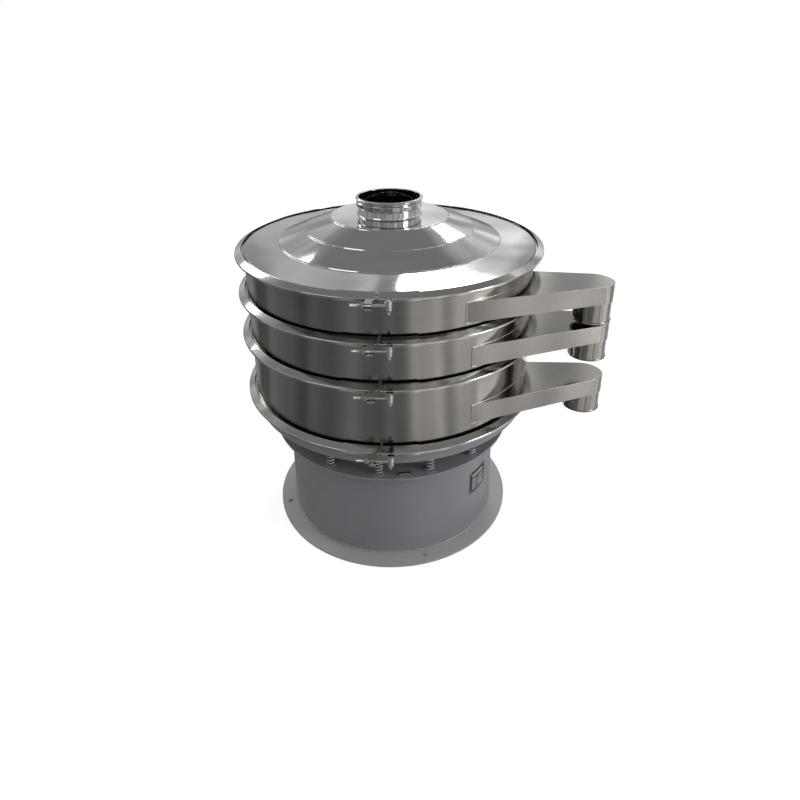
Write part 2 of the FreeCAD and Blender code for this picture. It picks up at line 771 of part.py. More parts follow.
def clamp_washer():
    """Washer between the nut and the saddle."""
    base = Vec(bolt_line_r, pin_at - washer_at, -bolt_drop)
    ring = rod(washer_r, washer_t, base, Vec(0, -1, 0))
    return ring.cut(rod(bolt_r + running_fit, 3 * washer_t, base + Vec(0, washer_t, 0), Vec(0, -1, 0)))


def clamp_nut():
    """Hexagon nut on the eye bolt."""
    base = Vec(bolt_line_r, pin_at - washer_at - washer_t, -bolt_drop)
    body = hexagon(nut_af, nut_h, base, Vec(0, -1, 0))
    return body.cut(rod(bolt_r + running_fit, 3 * nut_h, base + Vec(0, nut_h, 0), Vec(0, -1, 0)))


# --- lid and collar ---

def lid_skin():
    """Outer line of the lid from the rim up to the collar, as (radius, height above the joint)."""
    line = [(lid_edge_r, joint_half + lid_edge_rise)]
    for radius, rise in lid_ridges:
        line += [(radius, rise), (radius - lid_step_run, rise + lid_step)]
    return line + [(collar_r - collar_wall, collar_seat_rise + joint_gap / 2)]


def lid():
    """Spun cover: clamp flange, short upstand and a cone in three stepped rings, open at the collar."""
    skin = [(radius, joint_1_z + height) for radius, height in lid_skin()]
    under = [(radius, height - lid_sheet) for radius, height in reversed(skin[1:])]
    flange_low = joint_1_z + joint_gap / 2
    flange_high = flange_low + flange_t
    inner_edge = (lid_edge_r - lid_sheet, flange_low + lid_edge_rise)
    return revolve([(flange_r, flange_low), (flange_r, flange_high), (lid_edge_r, flange_high)] + skin + under
                   + [inner_edge, (lid_edge_r - lid_sheet, flange_low)])


def feed_collar():
    """Spun feed collar: welded foot, neck, raised bead band and a rolled lip at the top."""
    low = joint_1_z + collar_seat_rise + joint_gap / 2
    high = low + collar_h
    bore = collar_r - collar_wall
    bead_low = low + collar_bead_low
    bead_high = low + collar_bead_high
    bead_r = collar_r + collar_bead
    soft = collar_bead / 3
    lip_r = collar_r + collar_lip
    lip_mid = high - collar_lip_h / 2
    return revolve([
        (bore, low), (collar_r + collar_foot, low),
        ((collar_r + collar_foot * 0.35, low + collar_foot * 0.35), (collar_r, low + collar_foot)),
        (collar_r, bead_low), (bead_r - soft, bead_low), (bead_r, bead_low + soft), (bead_r, bead_high - soft),
        (bead_r - soft, bead_high), (collar_r, bead_high), (collar_r, high - collar_lip_h),
        (lip_r - collar_lip_h / 2, high - collar_lip_h),
        ((lip_r, lip_mid), (lip_r - collar_lip_h / 2, high)), (bore, high)])


def build():
    """Every piece by its node name."""
    nodes = {
        "base_barrel": base_barrel(),
        "foot_flange": foot_flange(),
        "spring_ring": spring_ring(),
        "transit_stop": transit_stop(),
        "nameplate": nameplate(),
        "nameplate_rivets": nameplate_rivets(),
        "cable_gland": cable_gland(),
        "lower_seats": lower_seats(),
        "springs": springs(),
        "upper_seats": upper_seats(),
        "table_dish": table_dish(),
        "table_ribs": table_ribs(),
        "table_gasket": gasket(joint_4_z, joint_4_z - joint_gap / 2),
        "motor_housing": motor_housing(),
        "terminal_box": terminal_box(),
        "motor_bolts": motor_bolts(),
        "motor_bearings": motor_bearings(),
        "motor_shaft": motor_shaft(),
        "upper_weight": upper_weight(),
        "lower_weight": lower_weight(),
        "bottom_pan": bottom_pan(),
        "lid_gasket": gasket(joint_1_z, joint_1_z - joint_gap / 2),
        "lid": lid(),
        "feed_collar": feed_collar()}
    for name, low_joint, pitch, azimuth, rise in (
            ("bottom", joint_4_z, bottom_pitch, bottom_duct_az, bottom_duct_rise),
            ("middle", joint_3_z, middle_pitch, middle_duct_az, middle_duct_rise),
            ("upper", joint_2_z, upper_pitch, upper_duct_az, upper_duct_rise)):
        nodes[name + "_drum"] = drum(low_joint, pitch, azimuth, rise)
        nodes[name + "_spout"] = spout(azimuth, low_joint + rise)
    for name, joint_z in (("lower", joint_3_z), ("upper", joint_2_z)):
        nodes[name + "_screen_ring"] = screen_ring(joint_z)
        nodes[name + "_mesh"] = mesh(joint_z)
        nodes[name + "_ball_tray"] = ball_tray(joint_z)
        nodes[name + "_balls"] = balls(joint_z)
        nodes[name + "_gasket"] = gasket(joint_z, joint_z)
    closure = {"band": clamp_band(), "pin": clamp_pin(), "bolt": clamp_bolt(),
               "washer": clamp_washer(), "nut": clamp_nut()}
    for number, joint_z in enumerate((joint_1_z, joint_2_z, joint_3_z, joint_4_z), 1):
        for piece, shape in closure.items():
            nodes["clamp_%d_%s" % (number, piece)] = turned(shape, clamp_az, joint_z)
    return nodes


def main():
    """Write one STEP file for each node."""
    os.makedirs("parts", exist_ok=True)
    for name, shape in build().items():
        shape.exportStep("parts/%s.step" % name)
        print("%-20s solids %2d  volume %10.0f" % (name, len(shape.Solids), shape.Volume))


main()
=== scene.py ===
"""Looks of a three-deck vibrating sieve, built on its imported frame, in metres.

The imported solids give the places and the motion. What shows is rebuilt here with soft edges, welds, threads and
procedural finishes, and each piece rides on the body of the solid that it stands for. +Z is up along the machine's
axis, the spouts leave towards +X, and the clamp closures face -Y.
"""

import json
import logging
import math
from dataclasses import dataclass
from enum import Enum
from typing import Callable, Sequence

import bmesh
import bpy
import numpy as np
from mathutils import Matrix

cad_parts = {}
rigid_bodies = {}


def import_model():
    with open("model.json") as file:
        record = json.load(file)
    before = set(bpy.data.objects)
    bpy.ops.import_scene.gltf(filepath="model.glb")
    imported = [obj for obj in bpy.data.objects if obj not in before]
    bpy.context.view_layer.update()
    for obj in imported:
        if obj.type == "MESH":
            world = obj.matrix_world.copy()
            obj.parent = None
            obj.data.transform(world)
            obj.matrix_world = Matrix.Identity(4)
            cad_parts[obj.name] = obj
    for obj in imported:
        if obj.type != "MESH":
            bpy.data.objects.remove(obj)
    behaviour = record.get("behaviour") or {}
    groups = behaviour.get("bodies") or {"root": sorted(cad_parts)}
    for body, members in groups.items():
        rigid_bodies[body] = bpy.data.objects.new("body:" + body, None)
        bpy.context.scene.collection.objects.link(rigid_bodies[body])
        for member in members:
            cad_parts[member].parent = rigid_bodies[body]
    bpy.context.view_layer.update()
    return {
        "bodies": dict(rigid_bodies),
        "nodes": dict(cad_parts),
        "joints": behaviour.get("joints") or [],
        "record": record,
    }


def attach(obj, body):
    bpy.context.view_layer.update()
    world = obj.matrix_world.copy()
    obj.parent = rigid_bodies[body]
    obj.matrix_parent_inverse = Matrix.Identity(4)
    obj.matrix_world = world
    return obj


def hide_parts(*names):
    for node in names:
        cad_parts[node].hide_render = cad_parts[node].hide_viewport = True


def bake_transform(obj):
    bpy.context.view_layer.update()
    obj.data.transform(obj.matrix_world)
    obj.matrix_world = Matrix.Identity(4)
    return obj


LOG = logging.getLogger("sieve")
Array = np.ndarray
Move = Callable[[Array], Array]
FULL = 360.0
CUT_SHARE = 0.45  # most of an edge that one rounded corner may take
STEEP = 0.95  # upward share of a direction past which a tube turns its sides by X
SAME_POINT = 2e-6
NO_EDGE = 1e-7
MILLIMETRE = 0.001
ROUND_STEPS = 256  # cells round a large turned piece
SMALL_STEPS = 72  # cells round a small one
WELD_STEP = 0.0012
UP = (0.0, 0.0, 1.0)


# ---------------------------------------------------------------- shapes

def soften(points: Sequence, radius: float, steps: int = 4, closed: bool = True) -> Array:
    """Rounds the corners of a polyline.

    A corner P is cut back on both edges by t = radius * tan(half its turn), but by no more than a share of the
    shorter edge, to A and B. The gap is filled by (1-s)^2 A + 2s(1-s) P + s^2 B for s from 0 to 1.

    Args:
        points: Corners, one row each, in two or three dimensions.
        radius: Rounding radius at every corner.
        steps: Segments in each rounding.
        closed: Whether the last corner joins the first.

    Returns:
        The rounded line as rows of points.
    """
    corner = np.asarray(points, float)
    back = np.roll(corner, 1, axis=0) - corner
    ahead = np.roll(corner, -1, axis=0) - corner
    back_len = np.linalg.norm(back, axis=1)
    ahead_len = np.linalg.norm(ahead, axis=1)
    back /= back_len[:, None]
    ahead /= ahead_len[:, None]
    turn = math.pi - np.arccos(np.clip((back * ahead).sum(1), -1.0, 1.0))
    cut = np.minimum(radius * np.tan(turn / 2), CUT_SHARE * np.minimum(back_len, ahead_len))[:, None, None]
    s = np.linspace(0.0, 1.0, steps + 1)[None, :, None]
    here = corner[:, None]
    before, after = here + back[:, None] * cut, here + ahead[:, None] * cut
    curve = (1 - s) ** 2 * before + 2 * s * (1 - s) * here + s ** 2 * after
    if not closed:
        curve[0] = corner[0]
        curve[-1] = corner[-1]
    return curve.reshape(-1, corner.shape[1])


def polar(azimuth: Array, radius: Array, z: Array) -> Array:
    """Points at azimuths in degrees, radii and heights: (r cos a, r sin a, z), broadcast together."""
    angle = np.radians(azimuth)
    x, y, height = np.broadcast_arrays(np.cos(angle) * radius, np.sin(angle) * radius, z)
    return np.stack([x, y, height], -1)


def heading(azimuth: float) -> Array:
    """Unit vector in plan at an azimuth in degrees."""
    return polar(azimuth, 1.0, 0.0)


def revolve(profile: Array, start: float = 0.0, sweep: float = FULL, steps: int = 192) -> Array:
    """Grid of a profile carried round Z: each (r, z) goes to (r cos a, r sin a, z) at every azimuth a.

    Args:
        profile: Rows of (radius, height).
        start: First azimuth in degrees.
        sweep: Angle covered in degrees.
        steps: Number of azimuths.

    Returns:
        Array of shape (steps, rows, 3). A full turn leaves out the repeated last azimuth.
    """
    azimuth = start + sweep * np.linspace(0.0, 1.0, steps, endpoint=sweep < FULL)
    return polar(azimuth[:, None], profile[None, :, 0], profile[None, :, 1])


def spun(points: Array, azimuth: float, lift: float = 0.0) -> Array:
    """Points turned about Z by an azimuth in degrees and lifted."""
    c, s = math.cos(math.radians(azimuth)), math.sin(math.radians(azimuth))
    x, y, z = np.moveaxis(points, -1, 0)
    return np.stack([x * c - y * s, x * s + y * c, z + lift], -1)


def laid(points: Array, origin: Sequence[float], along: Sequence[float], side: Sequence[float]) -> Array:
    """Points carried to a frame: local Z goes along a direction and local X goes towards a side.

    Args:
        points: Points in local axes.
        origin: Place of the local origin.
        along: Direction of local Z.
        side: Direction near local X, made square to the first.

    Returns:
        The moved points.
    """
    axis_z = np.asarray(along, float) / np.linalg.norm(along)
    axis_x = np.asarray(side, float) - np.dot(side, axis_z) * axis_z
    axis_x /= np.linalg.norm(axis_x)
    return points @ np.stack([axis_x, np.cross(axis_z, axis_x), axis_z]) + np.asarray(origin, float)


def inset_outline(outline: Array, inset: float) -> Array:
    """Closed plane outline moved inwards: each point goes along its mean edge normal by the inset.

    Args:
        outline: Rows of (x, y), counter-clockwise.
        inset: Distance inwards.

    Returns:
        The moved outline.
    """
    ahead = np.roll(outline, -1, axis=0) - outline
    ahead /= np.maximum(np.linalg.norm(ahead, axis=1), 1e-12)[:, None]
    normal = np.stack([-ahead[:, 1], ahead[:, 0]], -1)
    mean = normal + np.roll(normal, 1, axis=0)
    mean /= np.maximum((mean ** 2).sum(1), 0.5)[:, None] / 2
    return outline + mean * inset


def lofted(outline: Array, low: float, high: float, soft: float, steps: int = 3) -> Array:
    """Grid of a block with rounded rims: the outline rises from low to high, drawn in near both rims by
    soft * (1 - sin a) while its height goes soft * (1 - cos a) from the rim, a from 0 to a quarter turn.

    Args:
        outline: Rows of (x, y), counter-clockwise.
        low: Height of the lower face.
        high: Height of the upper face.
        soft: Rounding of both rims.
        steps: Segments in each rounding.

    Returns:
        Array of shape (levels, rows, 3), closed at both ends to the outline's middle.
    """
    quarter = np.linspace(0.0, math.pi / 2, steps + 1)
    insets = soft * (1 - np.sin(quarter))
    rise = soft * (1 - np.cos(quarter))
    levels = np.concatenate([low + rise, high - rise[::-1]])
    insets = np.concatenate([insets, insets[::-1]])
    rings = [np.column_stack([inset_outline(outline, i), np.full(len(outline), z)]) for i, z in zip(insets, levels)]
    middle = outline.mean(axis=0)
    ends = [np.tile([*middle, z], (len(outline), 1)) for z in (low, high)]
    return np.stack([ends[0], *rings, ends[1]])


def swept(path: Array, radius: Array, sides: int = 10, closed: bool = False) -> Array:
    """Grid of a round tube: at each path point a circle lies square to the path's direction, with its first
    axis the cross product of the direction and the world's up, or of the direction and X where that fails.

    Args:
        path: Rows of (x, y, z).
        radius: One radius, or one for each row.
        sides: Points round the tube.
        closed: Whether the path closes on itself.

    Returns:
        Array of shape (rows, sides, 3).
    """
    ahead = np.roll(path, -1, axis=0) - np.roll(path, 1, axis=0)
    if not closed:
        ahead[0], ahead[-1] = path[1] - path[0], path[-1] - path[-2]
    ahead /= np.linalg.norm(ahead, axis=1)[:, None]
    steep = np.abs(ahead[:, 2:]) > STEEP
    first = np.cross(ahead, np.where(steep, [1.0, 0.0, 0.0], [0.0, 0.0, 1.0]))
    first /= np.linalg.norm(first, axis=1)[:, None]
    second = np.cross(ahead, first)
    turn = np.linspace(0.0, 2 * math.pi, sides, endpoint=False)[None, :, None]
    size = np.broadcast_to(radius, (len(path),))[:, None, None]
    return path[:, None] + size * (np.cos(turn) * first[:, None] + np.sin(turn) * second[:, None])


def evenly(line: Array, step: float, closed: bool = True) -> Array:
    """Points at an even step along a polyline, in as many columns as it has."""
    whole = np.vstack([line, line[:1]]) if closed else line
    gaps = np.linalg.norm(np.diff(whole, axis=0), axis=1)
    at = np.concatenate([[0.0], np.cumsum(gaps)])
    where = np.linspace(0.0, at[-1], max(int(at[-1] / step), 4), endpoint=not closed)
    return np.stack([np.interp(where, at, column) for column in whole.T], -1)


def hexagon_grid(across: float, height: float, bore: float) -> Array:
    """Grid of a hexagon nut or bolt head about Z, from height 0 up.

    The side's radius at azimuth a is (across / 2) / cos(a folded into +-30 degrees). Both rims are cut by a cone
    of 30 degrees: the radius is at most across / 2 * face + distance from the rim / tan 30.

    Args:
        across: Width across flats.
        height: Height of the hexagon.
        bore: Radius of the hole.

    Returns:
        Array of shape (SMALL_STEPS, rows, 3).
    """
    face, chamfer, lead = 0.97, 0.03, 0.25
    azimuth = np.linspace(0.0, FULL, SMALL_STEPS, endpoint=False)
    folded = np.radians((azimuth + 30.0) % 60.0 - 30.0)
    side = (across / 2 / np.cos(folded))[:, None]
    rim = np.array([0.0, 0.02, 0.05, 0.09, 0.14])
    level = np.concatenate([rim, [0.5], 1 - rim[::-1]]) * height
    cone = across / 2 * face + np.minimum(level, height - level) / math.tan(math.radians(30.0))
    radius = np.minimum(side, cone[None, :])
    inner = np.full((SMALL_STEPS, 1), bore)
    flats = [inner + lead * (radius[:, end] - inner) for end in (slice(0, 1), slice(-1, None))]
    radius = np.hstack([inner, flats[0], radius, flats[1], inner])
    level = np.concatenate([[chamfer * height, 0.0], level, [height, (1 - chamfer) * height]])
    return polar(azimuth[:, None], radius, level[None, :])


def beaded(line: Array, radius: float, wave: float, rate: float) -> Array:
    """Radii along a weld bead: radius + wave * |sin(rate * n)| at its n-th point."""
    return radius + wave * np.abs(np.sin(np.arange(len(line)) * rate))


class Skin:
    """A mesh under construction, gathered from grids of points."""

    def __init__(self) -> None:
        """Starts empty."""
        self.points: list[Array] = []
        self.quads: list[Array] = []
        self.count = 0

    def add(self, grid: Array, wrap_u: bool = False, wrap_v: bool = False, keep: Array | None = None) -> "Skin":
        """Adds a grid's quads.

        Args:
            grid: Array of shape (n, m, 3).
            wrap_u: Whether the last row joins the first.
            wrap_v: Whether the last column joins the first.
            keep: Mask of the quads that are kept.

        Returns:
            This skin.
        """
        n, m = grid.shape[:2]
        index = np.arange(n * m).reshape(n, m) + self.count
        index = np.vstack([index, index[:1]]) if wrap_u else index
        index = np.hstack([index, index[:, :1]]) if wrap_v else index
        quads = np.stack([index[:-1, :-1], index[1:, :-1], index[1:, 1:], index[:-1, 1:]], -1)
        self.points.append(grid.reshape(-1, 3))
        self.quads.append((quads if keep is None else quads[keep]).reshape(-1, 4))
        self.count += n * m
        return self

    def cap(self, ring: Array) -> "Skin":
        """Closes a ring of points to its middle."""
        return self.add(np.stack([ring, np.broadcast_to(ring.mean(axis=0), ring.shape)]), wrap_v=True)

    def lathe(self, profile: Array, start: float = 0.0, sweep: float = FULL, steps: int = 192) -> "Skin":
        """Adds a closed profile carried round Z, closed by caps where it isn't a full turn."""
        grid = revolve(profile, start, sweep, steps)
        self.add(grid, wrap_u=sweep >= FULL, wrap_v=True)
        if sweep < FULL:
            self.cap(grid[0])
            self.cap(grid[-1])
        return self

    def block(self, outline: Array, low: float, high: float, soft: float) -> "Skin":
        """Adds a lofted block."""
        return self.add(lofted(outline, low, high, soft), wrap_v=True)

    def tube(self, path: Array, radius: Array, sides: int = 10, closed: bool = False) -> "Skin":
        """Adds a round tube along a path, with closed ends."""
        grid = swept(path, radius, sides, closed)
        self.add(grid, wrap_u=closed, wrap_v=True)
        if not closed:
            self.cap(grid[0])
            self.cap(grid[-1])
        return self

    def moved(self, move: Move) -> "Skin":
        """Applies a function of points to everything gathered so far."""
        self.points = [move(points) for points in self.points]
        return self

    def copies(self, moves: Sequence[Move]) -> "Skin":
        """A skin with one copy of this one for each function of points."""
        result = Skin()
        all_points = np.concatenate(self.points)
        all_quads = np.concatenate(self.quads)
        for move in moves:
            result.points.append(move(all_points))
            result.quads.append(all_quads + result.count)
            result.count += len(all_points)
        return result

    def join(self, other: "Skin") -> "Skin":
        """Adds everything of another skin."""
        self.points += other.points
        self.quads += [quads + self.count for quads in other.quads]
        self.count += other.count
        return self


@dataclass(frozen=True)
class Ride:
    """Where a piece belongs: its body, the solids it stands for, its slot in the record, and for a piece that
    stretches between two bodies, the second body and the heights where it leaves the first and meets the second."""

    body: str
    nodes: tuple[str, ...]
    slot: str
    stretch: tuple[str, float, float] | None = None


def make_piece(name: str, skin: Skin, finish: "Finish", ride: Ride, sharp: float = 32.0,
               bevel: float = 0.0) -> bpy.types.Object:
    """Turns a skin into a dressed object that rides on its body.

    Args:
        name: Name of the object.
        skin: The gathered surface.
        finish: Its finish.
        ride: Its body, solids and slot.
        sharp: Angle in degrees past which an edge shows sharp.
        bevel: Width of a live bevel on its sharp edges, or 0.

    Returns:
        The object.
    """
    mesh = bpy.data.meshes.new(name)
    mesh.from_pydata(np.concatenate(skin.points), [], np.concatenate(skin.quads))
    work = bmesh.new()
    work.from_mesh(mesh)
    bmesh.ops.remove_doubles(work, verts=work.verts, dist=SAME_POINT)
    bmesh.ops.dissolve_degenerate(work, dist=NO_EDGE, edges=work.edges)
    bmesh.ops.recalc_face_normals(work, faces=work.faces)
    work.to_mesh(mesh)
    work.free()
    mesh.shade_smooth()
    mesh.set_sharp_from_angle(angle=math.radians(sharp))
    piece = bpy.data.objects.new(name, mesh)
    bpy.context.scene.collection.objects.link(piece)
    piece.data.materials.append(finish.material())
    if bevel:
        rim = piece.modifiers.new("soft_edges", "BEVEL")
        rim.width = bevel
        rim.segments = 2
        rim.limit_method = "ANGLE"
        rim.angle_limit = math.radians(sharp)
        rim.harden_normals = True
    facing = piece.modifiers.new("large_faces_lead", "WEIGHTED_NORMAL")
    facing.keep_sharp = True
    if ride.stretch:
        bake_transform(piece)
    else:
        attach(piece, ride.body)
    if ride.nodes:
        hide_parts(*ride.nodes)
    LOG.info("%s: %d faces on %s", name, len(mesh.polygons), ride.body)
    return piece


# ---------------------------------------------------------------- finishes

def toned(color: Sequence[float], by: float, most: float = 1.0) -> tuple[float, ...]:
    """Colour multiplied by a factor, with no channel above the most."""
    return tuple(min(channel * by, most) for channel in color)


class Board:
    """A node tree with short calls to add and join nodes."""

    def __init__(self, tree: bpy.types.NodeTree) -> None:
        """Keeps the tree and empties it."""
        self.tree = tree
        tree.nodes.clear()

    def feed(self, node: bpy.types.Node, wires: dict) -> None:
        """Gives a node's inputs, by name or number, a socket or a value."""
        for key, value in wires.items():
            if isinstance(value, bpy.types.NodeSocket):
                self.tree.links.new(value, node.inputs[key])
            else:
                node.inputs[key].default_value = value

    def add(self, kind: str, wires: dict | None = None, **settings) -> bpy.types.Node:
        """Adds a node of one of Blender's kinds, sets its properties and feeds its inputs."""
        node = self.tree.nodes.new(kind)
        for key, value in settings.items():
            setattr(node, key, value)
        self.feed(node, wires or {})
        return node

    def math(self, operation: str, first, second=0.0) -> bpy.types.NodeSocket:
        """Output of a Math node."""
        return self.add("ShaderNodeMath", {0: first, 1: second}, operation=operation).outputs[0]

    def product(self, first, *others) -> bpy.types.NodeSocket:
        """Product of several values."""
        for other in others:
            first = self.math("MULTIPLY", first, other)
        return first

    def remap(self, value, low: float, high: float, to_low: float = 0.0,
              to_high: float = 1.0) -> bpy.types.NodeSocket:
        """Output of a Map Range node that holds its ends."""
        return self.add("ShaderNodeMapRange", {"Value": value, "From Min": low, "From Max": high,
                                               "To Min": to_low, "To Max": to_high}).outputs["Result"]

    def blend(self, factor, first, second) -> bpy.types.NodeSocket:
        """Colour mixed from two, each a socket or three numbers."""
        one, two = (value if isinstance(value, bpy.types.NodeSocket) else (*value, 1.0) for value in (first, second))
        return self.add("ShaderNodeMix", {0: factor, 6: one, 7: two}, data_type="RGBA").outputs[2]

    def noise(self, where, scale, detail: float, **more) -> bpy.types.NodeSocket:
        """Value of a Noise Texture node, with more inputs by their names."""
        return self.add("ShaderNodeTexNoise", {"Vector": where, "Scale": scale, "Detail": detail, **more}).outputs[0]

    def bump(self, height, strength: float = 1.0, distance: float = MILLIMETRE) -> bpy.types.NodeSocket:
        """Normal from a height in units of a distance."""
        wires = {"Height": height, "Strength": strength, "Distance": distance}
        return self.add("ShaderNodeBump", wires).outputs[0]

    def split(self, vector) -> bpy.types.NodeOutputs:
        """The three parts of a vector."""
        return self.add("ShaderNodeSeparateXYZ", {0: vector}).outputs

    def join(self, x, y, z) -> bpy.types.NodeSocket:
        """Vector from three parts."""
        return self.add("ShaderNodeCombineXYZ", {0: x, 1: y, 2: z}).outputs[0]

    def group(self, tree: bpy.types.NodeTree, where, **inputs) -> bpy.types.NodeOutputs:
        """Outputs of a node group read at a place."""
        return self.add("ShaderNodeGroup", {"Vector": where, **inputs}, node_tree=tree).outputs

    def mirrored(self) -> bpy.types.NodeSocket:
        """1 for rays that a glossy or clear surface sends out, else 0."""
        path = self.add("ShaderNodeLightPath").outputs
        return self.math("MAXIMUM", path["Is Glossy Ray"], path["Is Transmission Ray"])

    def seen(self) -> bpy.types.NodeSocket:
        """1 for rays from the camera, else 0."""
        return self.add("ShaderNodeLightPath").outputs["Is Camera Ray"]


def shader_group(name: str, inputs: dict, outputs: Sequence[str], fill: Callable) -> bpy.types.NodeTree:
    """Node group built once by name.

    Args:
        name: Name of the group.
        inputs: Name of each number beside the place to its default.
        outputs: Names of the float outputs.
        fill: Function of the board and the inputs' sockets that returns the outputs' sockets.

    Returns:
        The group.
    """
    if name in bpy.data.node_groups:
        return bpy.data.node_groups[name]
    tree = bpy.data.node_groups.new(name, "ShaderNodeTree")
    tree.interface.new_socket(name="Vector", in_out="INPUT", socket_type="NodeSocketVector")
    for key, default in inputs.items():
        tree.interface.new_socket(name=key, in_out="INPUT", socket_type="NodeSocketFloat").default_value = default
    for key in outputs:
        tree.interface.new_socket(name=key, in_out="OUTPUT", socket_type="NodeSocketFloat")
    board = Board(tree)
    entry = board.add("NodeGroupInput").outputs
    leaving = board.add("NodeGroupOutput")
    board.feed(leaving, dict(zip(outputs, fill(board, entry))))
    return tree


GRAIN_INPUTS = {"Along": 6.0, "Across": 420.0}
GRAIN_NOISE = {"Scale": 1.0, "Detail": 4.0, "Roughness": 0.65}


def round_grain() -> bpy.types.NodeTree:
    """Streaks that run round local Z: noise read slowly along x and y and quickly along z and the radius."""
    def fill(board: Board, entry) -> list:
        x, y, z = board.split(entry["Vector"])
        radius = board.math("SQRT", board.math("ADD", board.product(x, x), board.product(y, y)))
        place = board.join(board.product(x, entry["Along"]), board.product(y, entry["Along"]),
                           board.product(z, entry["Across"]))
        wires = {"Vector": place, "W": board.product(radius, entry["Across"]), **GRAIN_NOISE}
        return [board.add("ShaderNodeTexNoise", wires, noise_dimensions="4D").outputs[0]]
    return shader_group("round_grain", GRAIN_INPUTS, ["Streak"], fill)


def straight_grain() -> bpy.types.NodeTree:
    """Streaks along local X: noise read slowly along x and quickly along y and z."""
    def fill(board: Board, entry) -> list:
        x, y, z = board.split(entry["Vector"])
        place = board.join(board.product(x, entry["Along"]), board.product(y, entry["Across"]),
                           board.product(z, entry["Across"]))
        return [board.add("ShaderNodeTexNoise", {"Vector": place, **GRAIN_NOISE}).outputs[0]]
    return shader_group("straight_grain", GRAIN_INPUTS, ["Streak"], fill)


def handling_marks() -> bpy.types.NodeTree:
    """Smudges and scratches: a soft large noise for smudges, and thin crests of a stretched noise for scratches."""
    finer, crest_half = 2.3, 0.0025

    def fill(board: Board, entry) -> list:
        soft = board.noise(entry["Vector"], entry["Size"], 5.0, Roughness=0.6, Distortion=0.4)
        smudge = board.remap(soft, 0.42, 0.66)
        bent = board.noise(entry["Vector"], board.product(entry["Size"], finer), 1.0, Distortion=2.2)
        crest = board.math("ABSOLUTE", board.math("SUBTRACT", bent, 0.5))
        return [smudge, board.product(board.remap(crest, crest_half, 0.0), smudge)]
    return shader_group("handling_marks", {"Size": 7.0}, ["Smudge", "Scratch"], fill)


def edge_wear() -> bpy.types.NodeTree:
    """Rubbed edges: where the surface is convex, broken up by a fine noise."""
    ragged = 0.08

    def fill(board: Board, entry) -> list:
        shape = board.add("ShaderNodeNewGeometry").outputs["Pointiness"]
        noise = board.noise(entry["Vector"], 90.0, 6.0, Roughness=0.7)
        rise = board.math("ADD", shape, board.product(board.math("SUBTRACT", noise, 0.5), ragged))
        return [board.product(board.remap(rise, 0.525, 0.58), entry["Amount"])]
    return shader_group("edge_wear", {"Amount": 1.0}, ["Wear"], fill)


def settled_dust() -> bpy.types.NodeTree:
    """Dust on faces that look up, thicker in patches."""
    def fill(board: Board, entry) -> list:
        up = board.split(board.add("ShaderNodeNewGeometry").outputs["Normal"])[2]
        noise = board.noise(entry["Vector"], 16.0, 8.0, Roughness=0.7)
        return [board.product(board.remap(up, 0.6, 1.0), board.remap(noise, 0.35, 0.75), entry["Amount"])]
    return shader_group("settled_dust", {"Amount": 0.5}, ["Dust"], fill)


class Grain(Enum):
    """Which way a metal's brushing runs."""

    ROUND = "round"
    STRAIGHT = "straight"
    NONE = "none"


@dataclass(frozen=True)
class Finish:
    """What every finish shares: a name, a colour, a roughness and the place that its patterns are read from."""

    name: str
    color: tuple[float, float, float]
    roughness: float
    center: tuple[float, float, float] = (0.0, 0.0, 0.0)
    heading: float = 0.0

    def material(self) -> bpy.types.Material:
        """The finish's material, built once by a name that no slot of the record has."""
        label = "dressed_" + self.name
        if label in bpy.data.materials:
            return bpy.data.materials[label]
        material = bpy.data.materials.new(label)
        material.use_nodes = True
        material.diffuse_color = (*self.color, 1.0)
        board = Board(material.node_tree)
        out = board.add("ShaderNodeOutputMaterial")
        shader = board.add("ShaderNodeBsdfPrincipled", {"Base Color": (*self.color, 1.0), "Roughness": self.roughness})
        board.feed(out, {"Surface": shader.outputs[0]})
        where = board.add("ShaderNodeTexCoord").outputs["Object"]
        if any(self.center) or self.heading:
            turn = (0.0, 0.0, math.radians(self.heading))
            where = board.add("ShaderNodeMapping", {"Vector": where, "Location": self.center, "Rotation": turn},
                              vector_type="TEXTURE").outputs[0]
        self.fill(board, shader, where)
        return material

    def fill(self, board: Board, shader: bpy.types.Node, where: bpy.types.NodeSocket) -> None:
        """Adds the finish's own nodes. Each kind of finish has its own."""
        raise NotImplementedError


